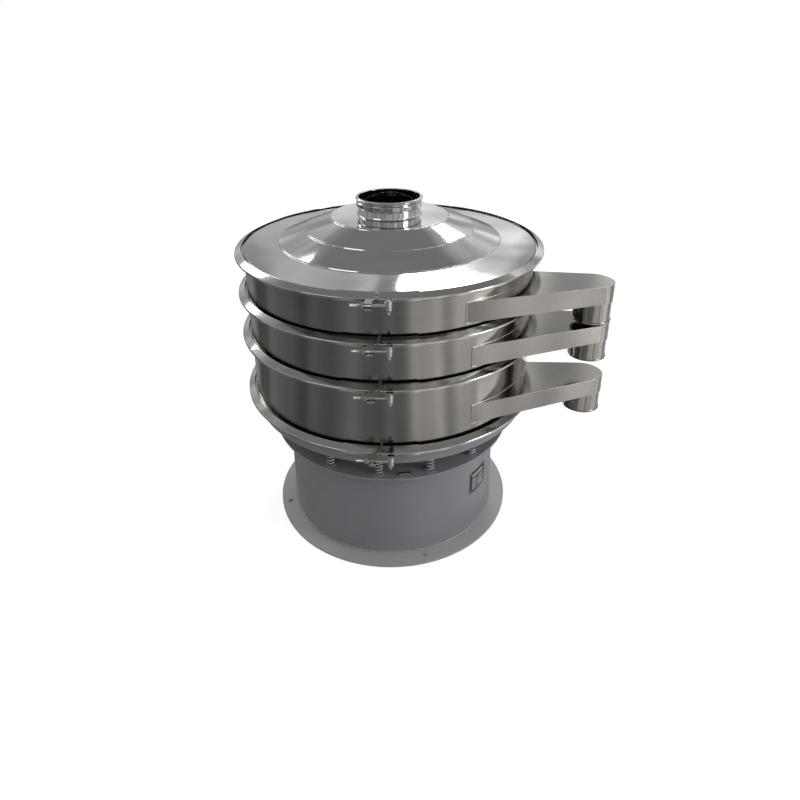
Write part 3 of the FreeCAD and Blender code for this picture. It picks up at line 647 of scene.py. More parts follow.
@dataclass(frozen=True)
class SteelFinish(Finish):
    """Bare or plated metal with brushing, smudges, scratches and rubbed edges."""

    grain: Grain = Grain.ROUND
    grain_depth: float = 0.00002
    grain_spread: float = 0.10
    grain_along: float = 5.0
    grain_across: float = 420.0
    fleck_size: float = 380.0
    streak_tone: float = 0.12
    ripple: float = 0.0
    ripple_size: float = 3.0
    marks_size: float = 6.0
    smudge_share: float = 0.35
    smudge_tone: float = 0.86
    smear: float = 0.05
    scratch_share: float = 0.5
    wear: float = 0.8
    edge_tone: float = 1.35
    edge_most: float = 0.9
    smoothest: float = 0.03

    def fill(self, board: Board, shader: bpy.types.Node, where: bpy.types.NodeSocket) -> None:
        """Streaks change colour, roughness and height; smudges dull; scratches and edges brighten."""
        marks = board.group(handling_marks(), where, Size=self.marks_size)
        wear = board.group(edge_wear(), where, Amount=self.wear)[0]
        if self.grain is Grain.NONE:
            streak = board.noise(where, self.fleck_size, 3.0)
        else:
            tree = round_grain() if self.grain is Grain.ROUND else straight_grain()
            streak = board.group(tree, where, Along=self.grain_along, Across=self.grain_across)[0]
        pale, dark = toned(self.color, 1 + self.streak_tone), toned(self.color, 1 - self.streak_tone)
        tone = board.blend(board.remap(streak, 0.3, 0.7), dark, pale)
        smudge = board.product(marks["Smudge"], self.smudge_share)
        tone = board.blend(smudge, tone, toned(self.color, self.smudge_tone))
        rubbed = board.math("MAXIMUM", wear, board.product(marks["Scratch"], self.scratch_share))
        tone = board.blend(rubbed, tone, toned(self.color, self.edge_tone, self.edge_most))
        half = self.grain_spread / 2
        rough = board.remap(streak, 0.3, 0.7, max(self.roughness - half, self.smoothest), self.roughness + half)
        rough = board.math("ADD", rough, board.product(marks["Smudge"], self.smear))
        height = board.product(streak, self.grain_depth / MILLIMETRE)
        if self.ripple:
            wave = board.noise(where, self.ripple_size, 1.0)
            height = board.math("ADD", height, board.product(wave, self.ripple / MILLIMETRE))
        board.feed(shader, {"Metallic": 1.0, "Base Color": tone, "Roughness": rough, "Normal": board.bump(height)})


@dataclass(frozen=True)
class PaintFinish(Finish):
    """Sprayed enamel with orange peel, scuffs, dust and edges rubbed towards a bare colour."""

    bare: tuple[float, float, float] = (0.34, 0.33, 0.32)
    peel: float = 0.00010
    peel_size: float = 260.0
    dust: float = 0.35
    dust_color: tuple[float, float, float] = (0.36, 0.35, 0.33)
    dust_rough: float = 0.25
    cloud_size: float = 2.2
    cloud_tone: float = 0.07
    marks_size: float = 4.5
    smudge_share: float = 0.25
    smudge_tone: float = 0.8
    smudge_rough: float = 0.12
    scratch_share: float = 0.6
    wear: float = 0.7

    def fill(self, board: Board, shader: bpy.types.Node, where: bpy.types.NodeSocket) -> None:
        """Peel is a fine noise height; smudges change tone and roughness; dust lies on top faces."""
        marks = board.group(handling_marks(), where, Size=self.marks_size)
        wear = board.group(edge_wear(), where, Amount=self.wear)[0]
        dust = board.group(settled_dust(), where, Amount=self.dust)[0]
        cloud = board.remap(board.noise(where, self.cloud_size, 4.0), 0.3, 0.7)
        tone = board.blend(cloud, toned(self.color, 1 - self.cloud_tone), toned(self.color, 1 + self.cloud_tone))
        smudge = board.product(marks["Smudge"], self.smudge_share)
        tone = board.blend(smudge, tone, toned(self.color, self.smudge_tone))
        tone = board.blend(board.product(marks["Scratch"], self.scratch_share), tone, self.bare)
        tone = board.blend(dust, board.blend(wear, tone, self.bare), self.dust_color)
        rough = board.remap(marks["Smudge"], 0.0, 1.0, self.roughness, self.roughness + self.smudge_rough)
        rough = board.math("ADD", rough, board.product(dust, self.dust_rough))
        peel = board.product(board.noise(where, self.peel_size, 2.0, Roughness=0.4), self.peel / MILLIMETRE)
        board.feed(shader, {"Base Color": tone, "Roughness": rough, "Normal": board.bump(peel)})


@dataclass(frozen=True)
class RubberFinish(Finish):
    """Matt rubber or plastic with a fine skin and pale rubbed spots."""

    skin: float = 0.00006
    skin_size: float = 700.0
    spot_size: float = 24.0
    spot_gain: float = 1.25
    spot_lift: float = 0.02
    spot_rough: float = 0.15

    def fill(self, board: Board, shader: bpy.types.Node, where: bpy.types.NodeSocket) -> None:
        """A fine noise gives height, and a larger one gives tone and roughness."""
        spots = board.remap(board.noise(where, self.spot_size, 5.0), 0.45, 0.72)
        pale = tuple(min(c * self.spot_gain + self.spot_lift, 1.0) for c in self.color)
        fine = board.product(board.noise(where, self.skin_size, 4.0), self.skin / MILLIMETRE)
        board.feed(shader, {
            "Base Color": board.blend(spots, self.color, pale), "Normal": board.bump(fine),
            "Roughness": board.remap(spots, 0.0, 1.0, self.roughness, self.roughness + self.spot_rough)})


@dataclass(frozen=True)
class WeaveFinish(Finish):
    """Woven wire cloth: two crossed sets of wires, each a row of round crests that passes over and under."""

    pitch: float = 0.0016
    # Tone of the openings between wires: painted shade.
    gap_shade: float = 0.12
    crest: float = 0.8

    def fill(self, board: Board, shader: bpy.types.Node, where: bpy.types.NodeSocket) -> None:
        """Wire height is |sin(pi x / pitch)| and |sin(pi y / pitch)|, and the openings between both are painted dark
        as shade seen through them.
        """
        crests = [board.math("ABSOLUTE", board.math("SINE", board.product(axis, math.pi / self.pitch)))
                  for axis in board.split(where)[:2]]
        wire = board.math("MAXIMUM", *crests)
        # Painted shade: the openings between the wires get a near-black tone.
        tone = board.blend(board.remap(wire, 0.55, 0.9), toned(self.color, self.gap_shade), self.color)
        board.feed(shader, {"Metallic": 1.0, "Base Color": tone,
                            "Normal": board.bump(wire, self.crest, self.pitch / 4)})


@dataclass(frozen=True)
class PlateFinish(Finish):
    """Printed rating plate with a bright frame and blank ruled fields, read along its width and height."""

    width: float = 0.1
    height: float = 0.09
    azimuth: float = 0.0
    level: float = 0.2
    ink: tuple[float, float, float] = (0.012, 0.012, 0.014)
    gloss: float = 0.25
    border: float = 0.007
    side: float = 0.013
    row_pitch: float = 0.0125
    row_gap: float = 0.45
    rows_below: float = 0.026
    column_at: float = 0.006
    column_half: float = 0.0035
    title: tuple[float, float] = (0.021, 0.012)

    def fill(self, board: Board, shader: bpy.types.Node, where: bpy.types.NodeSocket) -> None:
        """The place is turned so that Y runs along the plate; bands of Y and Z choose frame, fields or ink."""
        turn = {"Vector": where, "Axis": UP, "Angle": -math.radians(self.azimuth)}
        turned = board.split(board.add("ShaderNodeVectorRotate", turn, rotation_type="AXIS_ANGLE").outputs[0])
        across, top = board.math("ABSOLUTE", turned[1]), self.height / 2
        up = board.math("SUBTRACT", turned[2], self.level)
        inside = board.product(board.math("LESS_THAN", across, self.width / 2 - self.border),
                               board.math("LESS_THAN", board.math("ABSOLUTE", up), top - self.border))
        rows = board.math("GREATER_THAN", board.math("FRACT", board.product(up, 1 / self.row_pitch)), self.row_gap)
        below = board.math("LESS_THAN", up, top - self.rows_below)
        middle = board.math("ABSOLUTE", board.math("ADD", turned[1], self.column_at))
        column = board.math("GREATER_THAN", middle, self.column_half)
        narrow = board.math("LESS_THAN", across, self.width / 2 - self.side)
        fields = board.product(rows, below, column, narrow, inside)
        title = board.product(board.math("GREATER_THAN", up, top - self.title[0]),
                              board.math("LESS_THAN", up, top - self.title[1]), narrow)
        grime = board.group(handling_marks(), where, Size=30.0)[0]
        shown = board.product(board.math("MAXIMUM", fields, title), board.remap(grime, 0.0, 1.0, 0.8, 0.45))
        board.feed(shader, {
            "Base Color": board.blend(shown, self.ink, self.color), "Specular IOR Level": self.gloss,
            "Roughness": board.remap(grime, 0.0, 1.0, self.roughness, self.roughness + 0.2)})


@dataclass(frozen=True)
class Finishes:
    """Every finish of the machine."""

    drum: Finish = SteelFinish("drum_steel", (0.300, 0.286, 0.268), 0.16, grain_spread=0.08, ripple=0.0009,
                               ripple_size=2.6, streak_tone=0.08, grain_depth=0.000008, smear=0.03)
    lid: Finish = SteelFinish("lid_steel", (0.50, 0.49, 0.48), 0.070, grain_spread=0.04, ripple=0.0052,
                              ripple_size=4.2, streak_tone=0.05, grain_depth=0.000003, grain_across=300.0, smear=0.02)
    collar: Finish = SteelFinish("collar_steel", (0.50, 0.49, 0.48), 0.06, grain_spread=0.03, streak_tone=0.06,
                                 grain_depth=0.000003, smear=0.02)
    clamp: Finish = SteelFinish("clamp_steel", (0.46, 0.45, 0.43), 0.09, grain_spread=0.05, ripple=0.0006,
                                ripple_size=9.0, streak_tone=0.07, grain_depth=0.000004, smear=0.03)
    fastener: Finish = SteelFinish("fastener_steel", (0.46, 0.45, 0.44), 0.26, grain=Grain.NONE, grain_depth=0.00002)
    yellow: Finish = SteelFinish("yellow_plate", (0.56, 0.47, 0.28), 0.30, grain=Grain.NONE, grain_depth=0.00002)
    wire: Finish = SteelFinish("spring_steel", (0.42, 0.41, 0.40), 0.28, grain=Grain.NONE, grain_depth=0.00003)
    weld: Finish = SteelFinish("weld_bead", (0.33, 0.30, 0.26), 0.34, grain=Grain.NONE, grain_depth=0.00006,
                               streak_tone=0.3)
    mesh: Finish = WeaveFinish("mesh_steel", (0.42, 0.42, 0.41), 0.35)
    base: Finish = PaintFinish("base_paint", (0.170, 0.166, 0.182), 0.36, dust=0.12, dust_color=(0.30, 0.29, 0.30))
    motor: Finish = PaintFinish("motor_paint", (0.055, 0.080, 0.115), 0.42, bare=(0.25, 0.25, 0.26))
    iron: Finish = PaintFinish("weight_iron", (0.045, 0.043, 0.042), 0.65, peel=0.0004, bare=(0.16, 0.15, 0.15))
    seal: Finish = RubberFinish("seal_rubber", (0.55, 0.55, 0.51), 0.55)
    ball: Finish = RubberFinish("ball_rubber", (0.60, 0.59, 0.54), 0.6)
    gland: Finish = RubberFinish("gland_black", (0.018, 0.018, 0.019), 0.45)


FINISH = Finishes()


# ---------------------------------------------------------------- base, springs and table

@dataclass
class Base:
    """Painted stand on the floor: rolled barrel, foot flange, top ring, rating plate and gland."""

    barrel_r: float = 0.3915
    wall: float = 0.005
    height: float = 0.370
    foot_t: float = 0.008
    ring_r: float = 0.440
    ring_bore_r: float = 0.345
    ring_t: float = 0.008
    weld_r: float = 0.0045
    weld_wave: float = 0.0006
    window_w: float = 0.200
    window_h: float = 0.130
    window_soft: float = 0.032
    window_z: float = 0.190
    plate_w: float = 0.100
    plate_h: float = 0.090
    plate_az: float = -37.5
    plate_z: float = 0.208
    plate_corner: float = 0.004
    plate_t: float = 0.0014
    plate_soft: float = 0.0004
    stop_az: float = -84.5
    stop_r: tuple[float, float] = (0.414, 0.426)
    stop_half: float = 0.021
    stop_t: float = 0.008
    gland_az: float = 122.0
    gland_z: float = 0.075
    gland_bore: float = 0.006
    gland_across: float = 0.032
    gland_hex_h: float = 0.0113
    gland_nut: tuple = ((0.0, 0.011), (0.0068, 0.011), (0.0068, 0.0145), (0.0060, 0.0160), (0.0025, 0.0170),
                        (0.0, 0.0170))
    gland_tail_r: float = 0.0129
    gland_tail: float = 0.016
    gland_soft: float = 0.0008
    patch_wide: float = 1.5
    patch_tall: float = 0.8
    wall_cells: int = 150
    patch_cells: int = 24

    def build(self) -> None:
        """Builds and dresses every piece of the stand."""
        self.barrel()
        self.ring()
        self.plate()
        self.stop()
        self.gland()

    def barrel(self) -> None:
        """Wall with its floor weld and its rear hand hole.

        Outer and inner walls are grids over azimuth and height. The hand hole's edge is a rounded rectangle in
        arc length and height. Wall points within half its height are pulled to it: in the window's own
        coordinates the grid is read at rings of growing size from the edge out to a plain rectangle.
        """
        low, high = self.foot_t, self.height - self.ring_t
        skin = Skin()
        half_turn = math.degrees(self.window_w / 2 / self.barrel_r) * self.patch_wide
        patch_low = self.window_z - self.window_h * self.patch_tall
        patch_high = self.window_z + self.window_h * self.patch_tall
        plain = np.linspace(90 + half_turn, FULL + 90 - half_turn, self.wall_cells)
        patch = np.linspace(90 - half_turn, 90 + half_turn, self.patch_cells + 1)
        radii = (self.barrel_r, self.barrel_r - self.wall)
        rings = [self.window_patch(radius, half_turn, patch_low, patch_high) for radius in radii]
        for radius, ring in zip(radii, rings):
            skin.add(polar(plain[:, None], radius, np.array([[low, patch_low, patch_high, high]])))
            skin.add(polar(patch[:, None], radius, np.array([[low, patch_low]])))
            skin.add(polar(patch[:, None], radius, np.array([[patch_high, high]])))
            skin.add(ring, wrap_u=True)
        skin.add(np.stack([ring[:, 0] for ring in rings]), wrap_v=True)
        whole = np.concatenate([plain, patch])
        for level in (low, high):
            skin.add(polar(whole[:, None], np.array([radii]), level))
        make_piece("barrel", skin, FINISH.base, Ride("base", ("base_barrel",), "base_paint"), bevel=0.0008)
        path = polar(np.linspace(0.0, FULL, 720, endpoint=False), self.barrel_r + 0.0005, low + 0.0015)
        bead = Skin().tube(path, beaded(path, self.weld_r, self.weld_wave, math.radians(37.5)), 12, closed=True)
        make_piece("barrel_weld", bead, FINISH.base, Ride("base", (), "base_paint"))

    def window_patch(self, radius: float, half_turn: float, low: float, high: float) -> Array:
        """Rings from the hand hole's edge out to the rectangle round it, on a cylinder."""
        half_w = math.degrees(self.window_w / 2 / self.barrel_r)
        soft_turn = math.degrees(self.window_soft / self.barrel_r)
        scale = soft_turn / self.window_soft
        corners = [(half_w, -self.window_h / 2 * scale), (half_w, self.window_h / 2 * scale),
                   (-half_w, self.window_h / 2 * scale), (-half_w, -self.window_h / 2 * scale)]
        edge = soften(np.array(corners), soft_turn, 12)
        edge = np.column_stack([edge[:, 0] + 90, edge[:, 1] / scale + self.window_z])
        wide = np.linspace(90 - half_turn, 90 + half_turn, self.patch_cells + 1)
        side = len(edge) // 4
        tall = np.linspace(low, high, side + 1)
        frame = np.concatenate([
            np.column_stack([np.full(side, wide[-1]), tall[:-1]]),
            np.column_stack([wide[::-1][:-1], np.full(self.patch_cells, high)]),
            np.column_stack([np.full(side, wide[0]), tall[::-1][:-1]]),
            np.column_stack([wide[:-1], np.full(self.patch_cells, low)])])
        ring = self.match(edge, frame)
        share = np.linspace(0.0, 1.0, 5)[None, :, None]
        mixed = ring[:, None] * (1 - share) + frame[:, None] * share
        return polar(mixed[..., 0], radius, mixed[..., 1])

    def match(self, edge: Array, frame: Array) -> Array:
        """Point of the closed edge seen from the window's middle in the direction of each frame point."""
        middle = np.array([90.0, self.window_z])
        scale = np.array([1.0, FULL / (2 * math.pi * self.barrel_r)])
        bearing = [np.arctan2(*(((line - middle) * scale).T[::-1])) for line in (edge, frame)]
        order = np.argsort(bearing[0])
        known = bearing[0][order]
        known = np.concatenate([known - 2 * math.pi, known, known + 2 * math.pi])
        return np.column_stack([np.interp(bearing[1], known, np.tile(edge[order, k], 3)) for k in (0, 1)])

    def ring(self) -> None:
        """Flat ring that overhangs the barrel, with rounded rims."""
        low = self.height - self.ring_t
        profile = soften([(self.ring_bore_r, low), (self.ring_r, low), (self.ring_r, self.height),
                          (self.ring_bore_r, self.height)], 0.0012, 3)
        make_piece("spring_shelf", Skin().lathe(profile, steps=ROUND_STEPS), FINISH.base,
                   Ride("base", ("spring_ring",), "base_paint"))

    def plate(self) -> None:
        """Rating plate rolled to the barrel, with rounded corners."""
        w, h = self.plate_w / 2, self.plate_h / 2
        outline = evenly(soften([(-w, -h), (w, -h), (w, h), (-w, h)], self.plate_corner, 5), 0.003)
        rows = lofted(outline, 0.0, self.plate_t, self.plate_soft, 2)
        face = [rows[-1] + (rows[-2] - rows[-1]) * share for share in (0.75, 0.5, 0.25)]
        rows = np.concatenate([rows[:-1], face, rows[-1:]])
        azimuth = self.plate_az + np.degrees(rows[..., 0] / self.barrel_r)
        skin = Skin().add(polar(azimuth, self.barrel_r + rows[..., 2], self.plate_z + rows[..., 1]), wrap_v=True)
        finish = PlateFinish("plate_print", (0.42, 0.42, 0.41), 0.34, width=self.plate_w, height=self.plate_h,
                             azimuth=self.plate_az, level=self.plate_z)
        make_piece("rating_plate", skin, finish, Ride("base", ("nameplate",), "plate_black"))

    def stop(self) -> None:
        """Short bar on the ring between two springs."""
        (inner, outer), half = self.stop_r, self.stop_half
        outline = soften([(inner, -half), (outer, -half), (outer, half), (inner, half)], 0.0015, 3)
        skin = Skin().block(outline, self.height, self.height + self.stop_t, 0.0012)
        skin.moved(lambda points: spun(points, self.stop_az))
        make_piece("shelf_stop", skin, FINISH.fastener, Ride("base", ("transit_stop",), "base_paint"))

    def gland(self) -> None:
        """Cable gland: hexagon against the barrel, a ribbed dome nut and a threaded tail inside."""
        out = heading(self.gland_az)
        seat = out * (self.barrel_r + MILLIMETRE) + np.array([0.0, 0.0, self.gland_z])
        bore, tail = self.gland_bore, self.gland_tail
        nut = np.array(self.gland_nut) + [bore, 0.0]
        inside = [(bore, -tail), (self.gland_tail_r, -tail), (self.gland_tail_r, 0.0), (bore, 0.0)]
        skin = Skin().add(hexagon_grid(self.gland_across, self.gland_hex_h, bore), wrap_u=True, wrap_v=True)
        for line in (nut, inside):
            skin.lathe(soften(line, self.gland_soft, 3), steps=SMALL_STEPS)
        skin.moved(lambda points: laid(points, seat, out, UP))
        make_piece("gland", skin, FINISH.gland, Ride("base", ("cable_gland",), "gland_black"))


@dataclass
class Springs:
    """Ring of coil springs with ground ends, which stretch between the stand and the table."""

    count: int = 15
    first_az: float = -96.5
    circle_r: float = 0.410
    low: float = 0.372
    length: float = 0.104
    mean_r: float = 0.013
    wire_r: float = 0.003
    pitch: float = 0.0115
    turn_cells: int = 22
    wire_sides: int = 9

    def build(self) -> None:
        """Coils the wire as (m cos t, m sin t, p t / 2 pi), and flattens what passes either end."""
        turns = (self.length + 2 * self.wire_r) / self.pitch
        t = np.linspace(0.0, turns * 2 * math.pi, int(turns * self.turn_cells))
        rise = self.pitch * t / (2 * math.pi) - self.wire_r
        path = np.stack([self.mean_r * np.cos(t), self.mean_r * np.sin(t), rise], -1)
        coil = Skin().tube(path, self.wire_r, self.wire_sides).moved(self.ground)
        places = [self.placer(self.first_az + k * FULL / self.count) for k in range(self.count)]
        ride = Ride("base", ("springs",), "spring_steel", ("table", self.low, self.low + self.length))
        make_piece("coil_springs", coil.copies(places), FINISH.wire, ride)

    def ground(self, points: Array) -> Array:
        """Points held between the spring's two end planes."""
        x, y, z = np.moveaxis(points, -1, 0)
        return np.stack([x, y, np.clip(z, 0.0, self.length)], -1)

    def placer(self, azimuth: float) -> Move:
        """Function that carries points to the spring at an azimuth."""
        return lambda points: spun(points + np.array([self.circle_r, 0.0, 0.0]), azimuth, self.low)


@dataclass
class Table:
    """Painted dish under the lowest drum, with its clamp flange and its sloping cone to the motor's seat."""

    rim_r: float = 0.500
    inner_r: float = 0.495
    flange_r: float = 0.52143
    flange_t: float = 0.003
    low: float = 0.478
    joint: float = 0.533
    half_gap: float = 0.002
    deck_t: float = 0.008
    deck_r: float = 0.372
    seat_r: float = 0.205
    seat_low: float = 0.428
    seat_t: float = 0.012
    bore_r: float = 0.055

    def build(self) -> None:
        """Builds the dish. The seats, ribs and motor keep their solids."""
        top = self.joint - self.half_gap
        lip, deck, seat = top - self.flange_t, self.low + self.deck_t, self.seat_low + self.seat_t
        line = soften([
            (self.rim_r, self.low), (self.rim_r, lip), (self.flange_r, lip), (self.flange_r, top), (self.inner_r, top),
            (self.inner_r, deck), (self.deck_r, deck), (self.seat_r, seat), (self.bore_r, seat),
            (self.bore_r, self.seat_low), (self.seat_r, self.seat_low), (self.deck_r, self.low)], 0.0015, 3)
        make_piece("table_pan", Skin().lathe(line, steps=ROUND_STEPS), FINISH.base,
                   Ride("table", ("table_dish",), "base_paint"))


# ---------------------------------------------------------------- drums and spouts

@dataclass
class Spout:
    """Tapering sheet duct with a round nose and a down-pipe."""

    name: str
    body: str
    root_az: float
    floor_z: float
    drum_r: float = 0.500
    height: float = 0.067
    length: float = 0.471
    wall_turn: float = 80.9
    taper: float = 22.0
    roof_drop: float = 0.015
    floor_drop: float = 0.008
    nose_r: float = 0.063
    pipe_r: float = 0.060
    pipe_drop: float = 0.130
    sheet: float = 0.002
    lip: float = 0.003
    start_r: float = 0.4992
    nose_cells: int = 32
    run_cells: int = 16
    bead_r: float = 0.0013
    seam_r: float = 0.0009

    def __post_init__(self) -> None:
        """Works out the plan: root, wall directions and the pipe's centre."""
        self.near_az = self.root_az + self.wall_turn
        self.far_az = self.near_az - self.taper
        self.root = heading(self.root_az) * self.drum_r
        self.near = heading(self.near_az)
        self.center = self.root + self.near * self.length + heading(self.near_az + 90) * self.nose_r
        self.mouth = self.floor_z + self.height - self.roof_drop - self.pipe_drop

    def reach(self, points: Array) -> Array:
        """Distance of plan points from the root along the near wall."""
        return np.maximum((points[..., :2] - self.root[:2]) @ self.near[:2], 0.0)

    def roof(self, points: Array, inset: float) -> Array:
        """Roof height over plan points: a plane that falls along the near wall."""
        return self.floor_z + self.height - inset - self.roof_drop / self.length * self.reach(points)

    def floor(self, points: Array, inset: float) -> Array:
        """Floor height under plan points: a plane that falls along the near wall."""
        return self.floor_z + inset - self.floor_drop / self.length * self.reach(points)

    def start_azimuths(self, inset: float) -> tuple[float, float]:
        """Azimuths where the near and far walls' lines meet the drum."""
        found = []
        for azimuth, side in ((self.near_az, -90.0), (self.far_az, 90.0)):
            end = self.center + heading(azimuth + side) * (self.nose_r - inset)
            way = heading(azimuth)
            dot = float(end @ way)
            back = -dot + math.sqrt(dot ** 2 - float(end @ end) + self.start_r ** 2)
            point = end + way * back
            found.append(math.degrees(math.atan2(point[1], point[0])))
        return found[0], found[1]

    def plan(self, inset: float, sweep: float) -> Array:
        """Straight lines in plan from the drum to the nose's circle.

        Line w starts on the drum between the two walls' azimuths and ends on the circle at the azimuth
        near - 90 + w * sweep, for w from 0 to 1.
        """
        first, last = self.start_azimuths(inset)
        w = np.linspace(0.0, 1.0, self.nose_cells + 1)
        start = polar(first + (last - first) * w, self.start_r, 0.0)
        end = self.center + polar(self.near_az - 90 + sweep * w, self.nose_r - inset, 0.0)
        v = np.linspace(0.0, 1.0, self.run_cells + 1)[:, None, None]
        return start[None] * (1 - v) + end[None] * v

    def circle(self) -> Array:
        """Azimuths round the nose and the pipe, with a point at each end of the nose."""
        nose, cells = 180.0 - self.taper, self.nose_cells + 1
        return self.near_az - 90 + np.concatenate([np.linspace(0, nose, cells), np.linspace(nose, FULL, cells)[1:-1]])

    def shell(self, inset: float) -> dict[str, Array]:
        """Roof, floor, wall and pipe rim grids of the duct, drawn in by an inset."""
        nose = 180.0 - self.taper
        roof = self.plan(inset, nose)
        floor = self.plan(inset, nose - FULL)
        edge = np.concatenate([roof[:, 0], roof[-1, 1:], roof[-2::-1, -1]])
        low, high = edge.copy(), edge.copy()
        low[:, 2] = self.floor(edge, inset)
        high[:, 2] = self.roof(edge, inset)
        roof[..., 2] = self.roof(roof, inset)
        floor[..., 2] = self.floor(floor, inset)
        ends = np.concatenate([self.circle(), self.circle()[:1]])
        rim = polar(ends[:, None], np.array([[self.nose_r, self.pipe_r]]) - inset, 0.0) + self.center
        rim[..., 2] = self.floor(rim, inset)
        return {"roof": roof, "floor": floor, "wall": np.stack([low, high]), "rim": rim}

    def pipe(self) -> Array:
        """Grid of the down-pipe, from the outer floor down round the lip and up the bore to the inner floor."""
        azimuth = self.circle()
        outside, inside = self.pipe_r, self.pipe_r - self.sheet
        lip_high, above = 0.0052, 0.012
        lip = soften([(outside, above), (outside, lip_high), (outside + self.lip, lip_high), (outside + self.lip, 0.0),
                      (inside, 0.0), (inside, above)], 0.0014, 4, closed=False)
        grid = polar(azimuth[:, None], lip[None, :, 0], lip[None, :, 1] + self.mouth) + self.center
        outer = polar(azimuth[:, None], outside, 0.0) + self.center
        inner = polar(azimuth[:, None], inside, 0.0) + self.center
        outer[..., 2] = self.floor(outer, 0.0)
        inner[..., 2] = self.floor(inner, self.sheet)
        return np.concatenate([outer, grid, inner], axis=1)

    def build(self) -> None:
        """Builds the duct, its welds and its grain."""
        outer, inner = self.shell(0.0), self.shell(self.sheet)
        skin = Skin()
        for shell in (outer, inner):
            for grid in shell.values():
                skin.add(grid)
        for key in ("roof", "floor"):
            skin.add(np.stack([outer[key][0], inner[key][0]]))
        for column in (0, -1):
            skin.add(np.stack([np.stack([s["roof"][0, column], s["floor"][0, column]]) for s in (outer, inner)]))
        skin.add(self.pipe(), wrap_u=True)
        finish = SteelFinish(self.name + "_sheet", (0.315, 0.300, 0.282), 0.11, center=tuple(self.center),
                             heading=self.near_az - self.taper / 2, grain=Grain.STRAIGHT, grain_spread=0.05,
                             ripple=0.0007, ripple_size=5.0, streak_tone=0.07, grain_depth=0.000005, smear=0.03)
        make_piece(self.name, skin, finish, Ride(self.body, (self.name,), "drum_steel"), sharp=40.0, bevel=0.0016)
        self.welds(outer)

    def welds(self, outer: dict[str, Array]) -> None:
        """Beads where the duct meets the drum, and seams where the flat walls meet the round nose."""
        loop = np.concatenate([outer["roof"][0], outer["floor"][0][::-1]])
        flat = math.hypot(*loop[0, :2]) + 0.0012
        loop[:, :2] *= (flat / np.linalg.norm(loop[:, :2], axis=1))[:, None]
        dense = evenly(loop, WELD_STEP)
        skin = Skin().tube(dense, beaded(dense, self.bead_r, 0.0003, 0.9), 8, closed=True)
        for azimuth, side in ((self.near_az, -90.0), (self.far_az, 90.0)):
            foot = self.center + heading(azimuth + side) * (self.nose_r - 0.0002)
            seam = np.stack([foot, foot])
            seam[:, 2] = self.floor(foot, MILLIMETRE), self.roof(foot, MILLIMETRE)
            line = evenly(seam, WELD_STEP, closed=False)
            skin.tube(line, beaded(line, self.seam_r, 0.0002, 1.1), 8)
        make_piece(self.name + "_welds", skin, FINISH.weld, Ride(self.body, (), "drum_steel"))


@dataclass
class Drum:
    """Rolled steel drum with a clamp flange at each end and the opening into its spout."""

    name: str
    body: str
    low_joint: float
    pitch: float
    spout: Spout
    outer_r: float = 0.500
    inner_r: float = 0.498
    flange_r: float = 0.52143
    flange_t: float = 0.003
    gap: float = 0.004
    window_cells: int = 39
    wall_cells: int = 169
    seam_az: float = 118.0
    seam_r: float = 0.0011

    def build(self) -> None:
        """Builds the wall, its lengthwise seam and its spout.

        The wall is a closed profile carried round Z. Between the spout's azimuths two of its levels follow the
        window's lower and upper edges, and the faces between them are left out.
        """
        low = self.low_joint + self.gap / 2
        high = self.low_joint + self.pitch - self.gap / 2
        first, last = self.spout.start_azimuths(self.spout.sheet)
        inside = np.linspace(first, last, self.window_cells + 1)
        outside = np.linspace(last, first + FULL, self.wall_cells + 1)[1:-1]
        azimuth = np.concatenate([inside, outside])
        held = np.concatenate([inside, np.where(outside < (last + first + FULL) / 2, last, first)])
        edge = polar(held, self.outer_r, 0.0)
        sill, head = self.spout.floor(edge, self.spout.sheet), self.spout.roof(edge, self.spout.sheet)
        soft_low = soften([(self.inner_r, low), (self.flange_r, low), (self.flange_r, low + self.flange_t),
                           (self.outer_r, low + self.flange_t), (self.outer_r, low + 0.012)], MILLIMETRE, 3,
                          closed=False)
        soft_high = soft_low[::-1] * [1, -1] + [0, low + high]
        grid = np.concatenate([
            polar(azimuth[:, None], soft_low[None, :, 0], soft_low[None, :, 1]),
            np.stack([polar(azimuth, self.outer_r, sill), polar(azimuth, self.outer_r, head)], axis=1),
            polar(azimuth[:, None], soft_high[None, :, 0], soft_high[None, :, 1]),
            np.stack([polar(azimuth, self.inner_r, head), polar(azimuth, self.inner_r, sill)], axis=1)], axis=1)
        columns = grid.shape[1]
        first_window = len(soft_low)
        second_window = 2 * len(soft_low) + 2
        keep = np.ones((len(azimuth), columns), bool)
        keep[:self.window_cells, [first_window, second_window]] = False
        skin = Skin().add(grid, wrap_u=True, wrap_v=True, keep=keep)
        window, far = [first_window, first_window + 1], [second_window + 1, second_window]
        for outer_col, inner_col in zip(window, far):
            skin.add(np.stack([grid[:len(inside), outer_col], grid[:len(inside), inner_col]]))
        for row in (0, self.window_cells):
            skin.add(np.stack([grid[row, window], grid[row, far]]))
        make_piece(self.name, skin, FINISH.drum, Ride(self.body, (self.name,), "drum_steel"))
        seam = np.stack([polar(self.seam_az, self.outer_r - 0.0004, z) for z in (low + 0.004, high - 0.004)])
        line = evenly(seam, WELD_STEP, closed=False)
        bead = Skin().tube(line, beaded(line, self.seam_r, 0.0002, 1.0), 8)
        make_piece(self.name + "_seam", bead, FINISH.weld, Ride(self.body, (), "drum_steel"))
        self.spout.build()


# ---------------------------------------------------------------- clamps

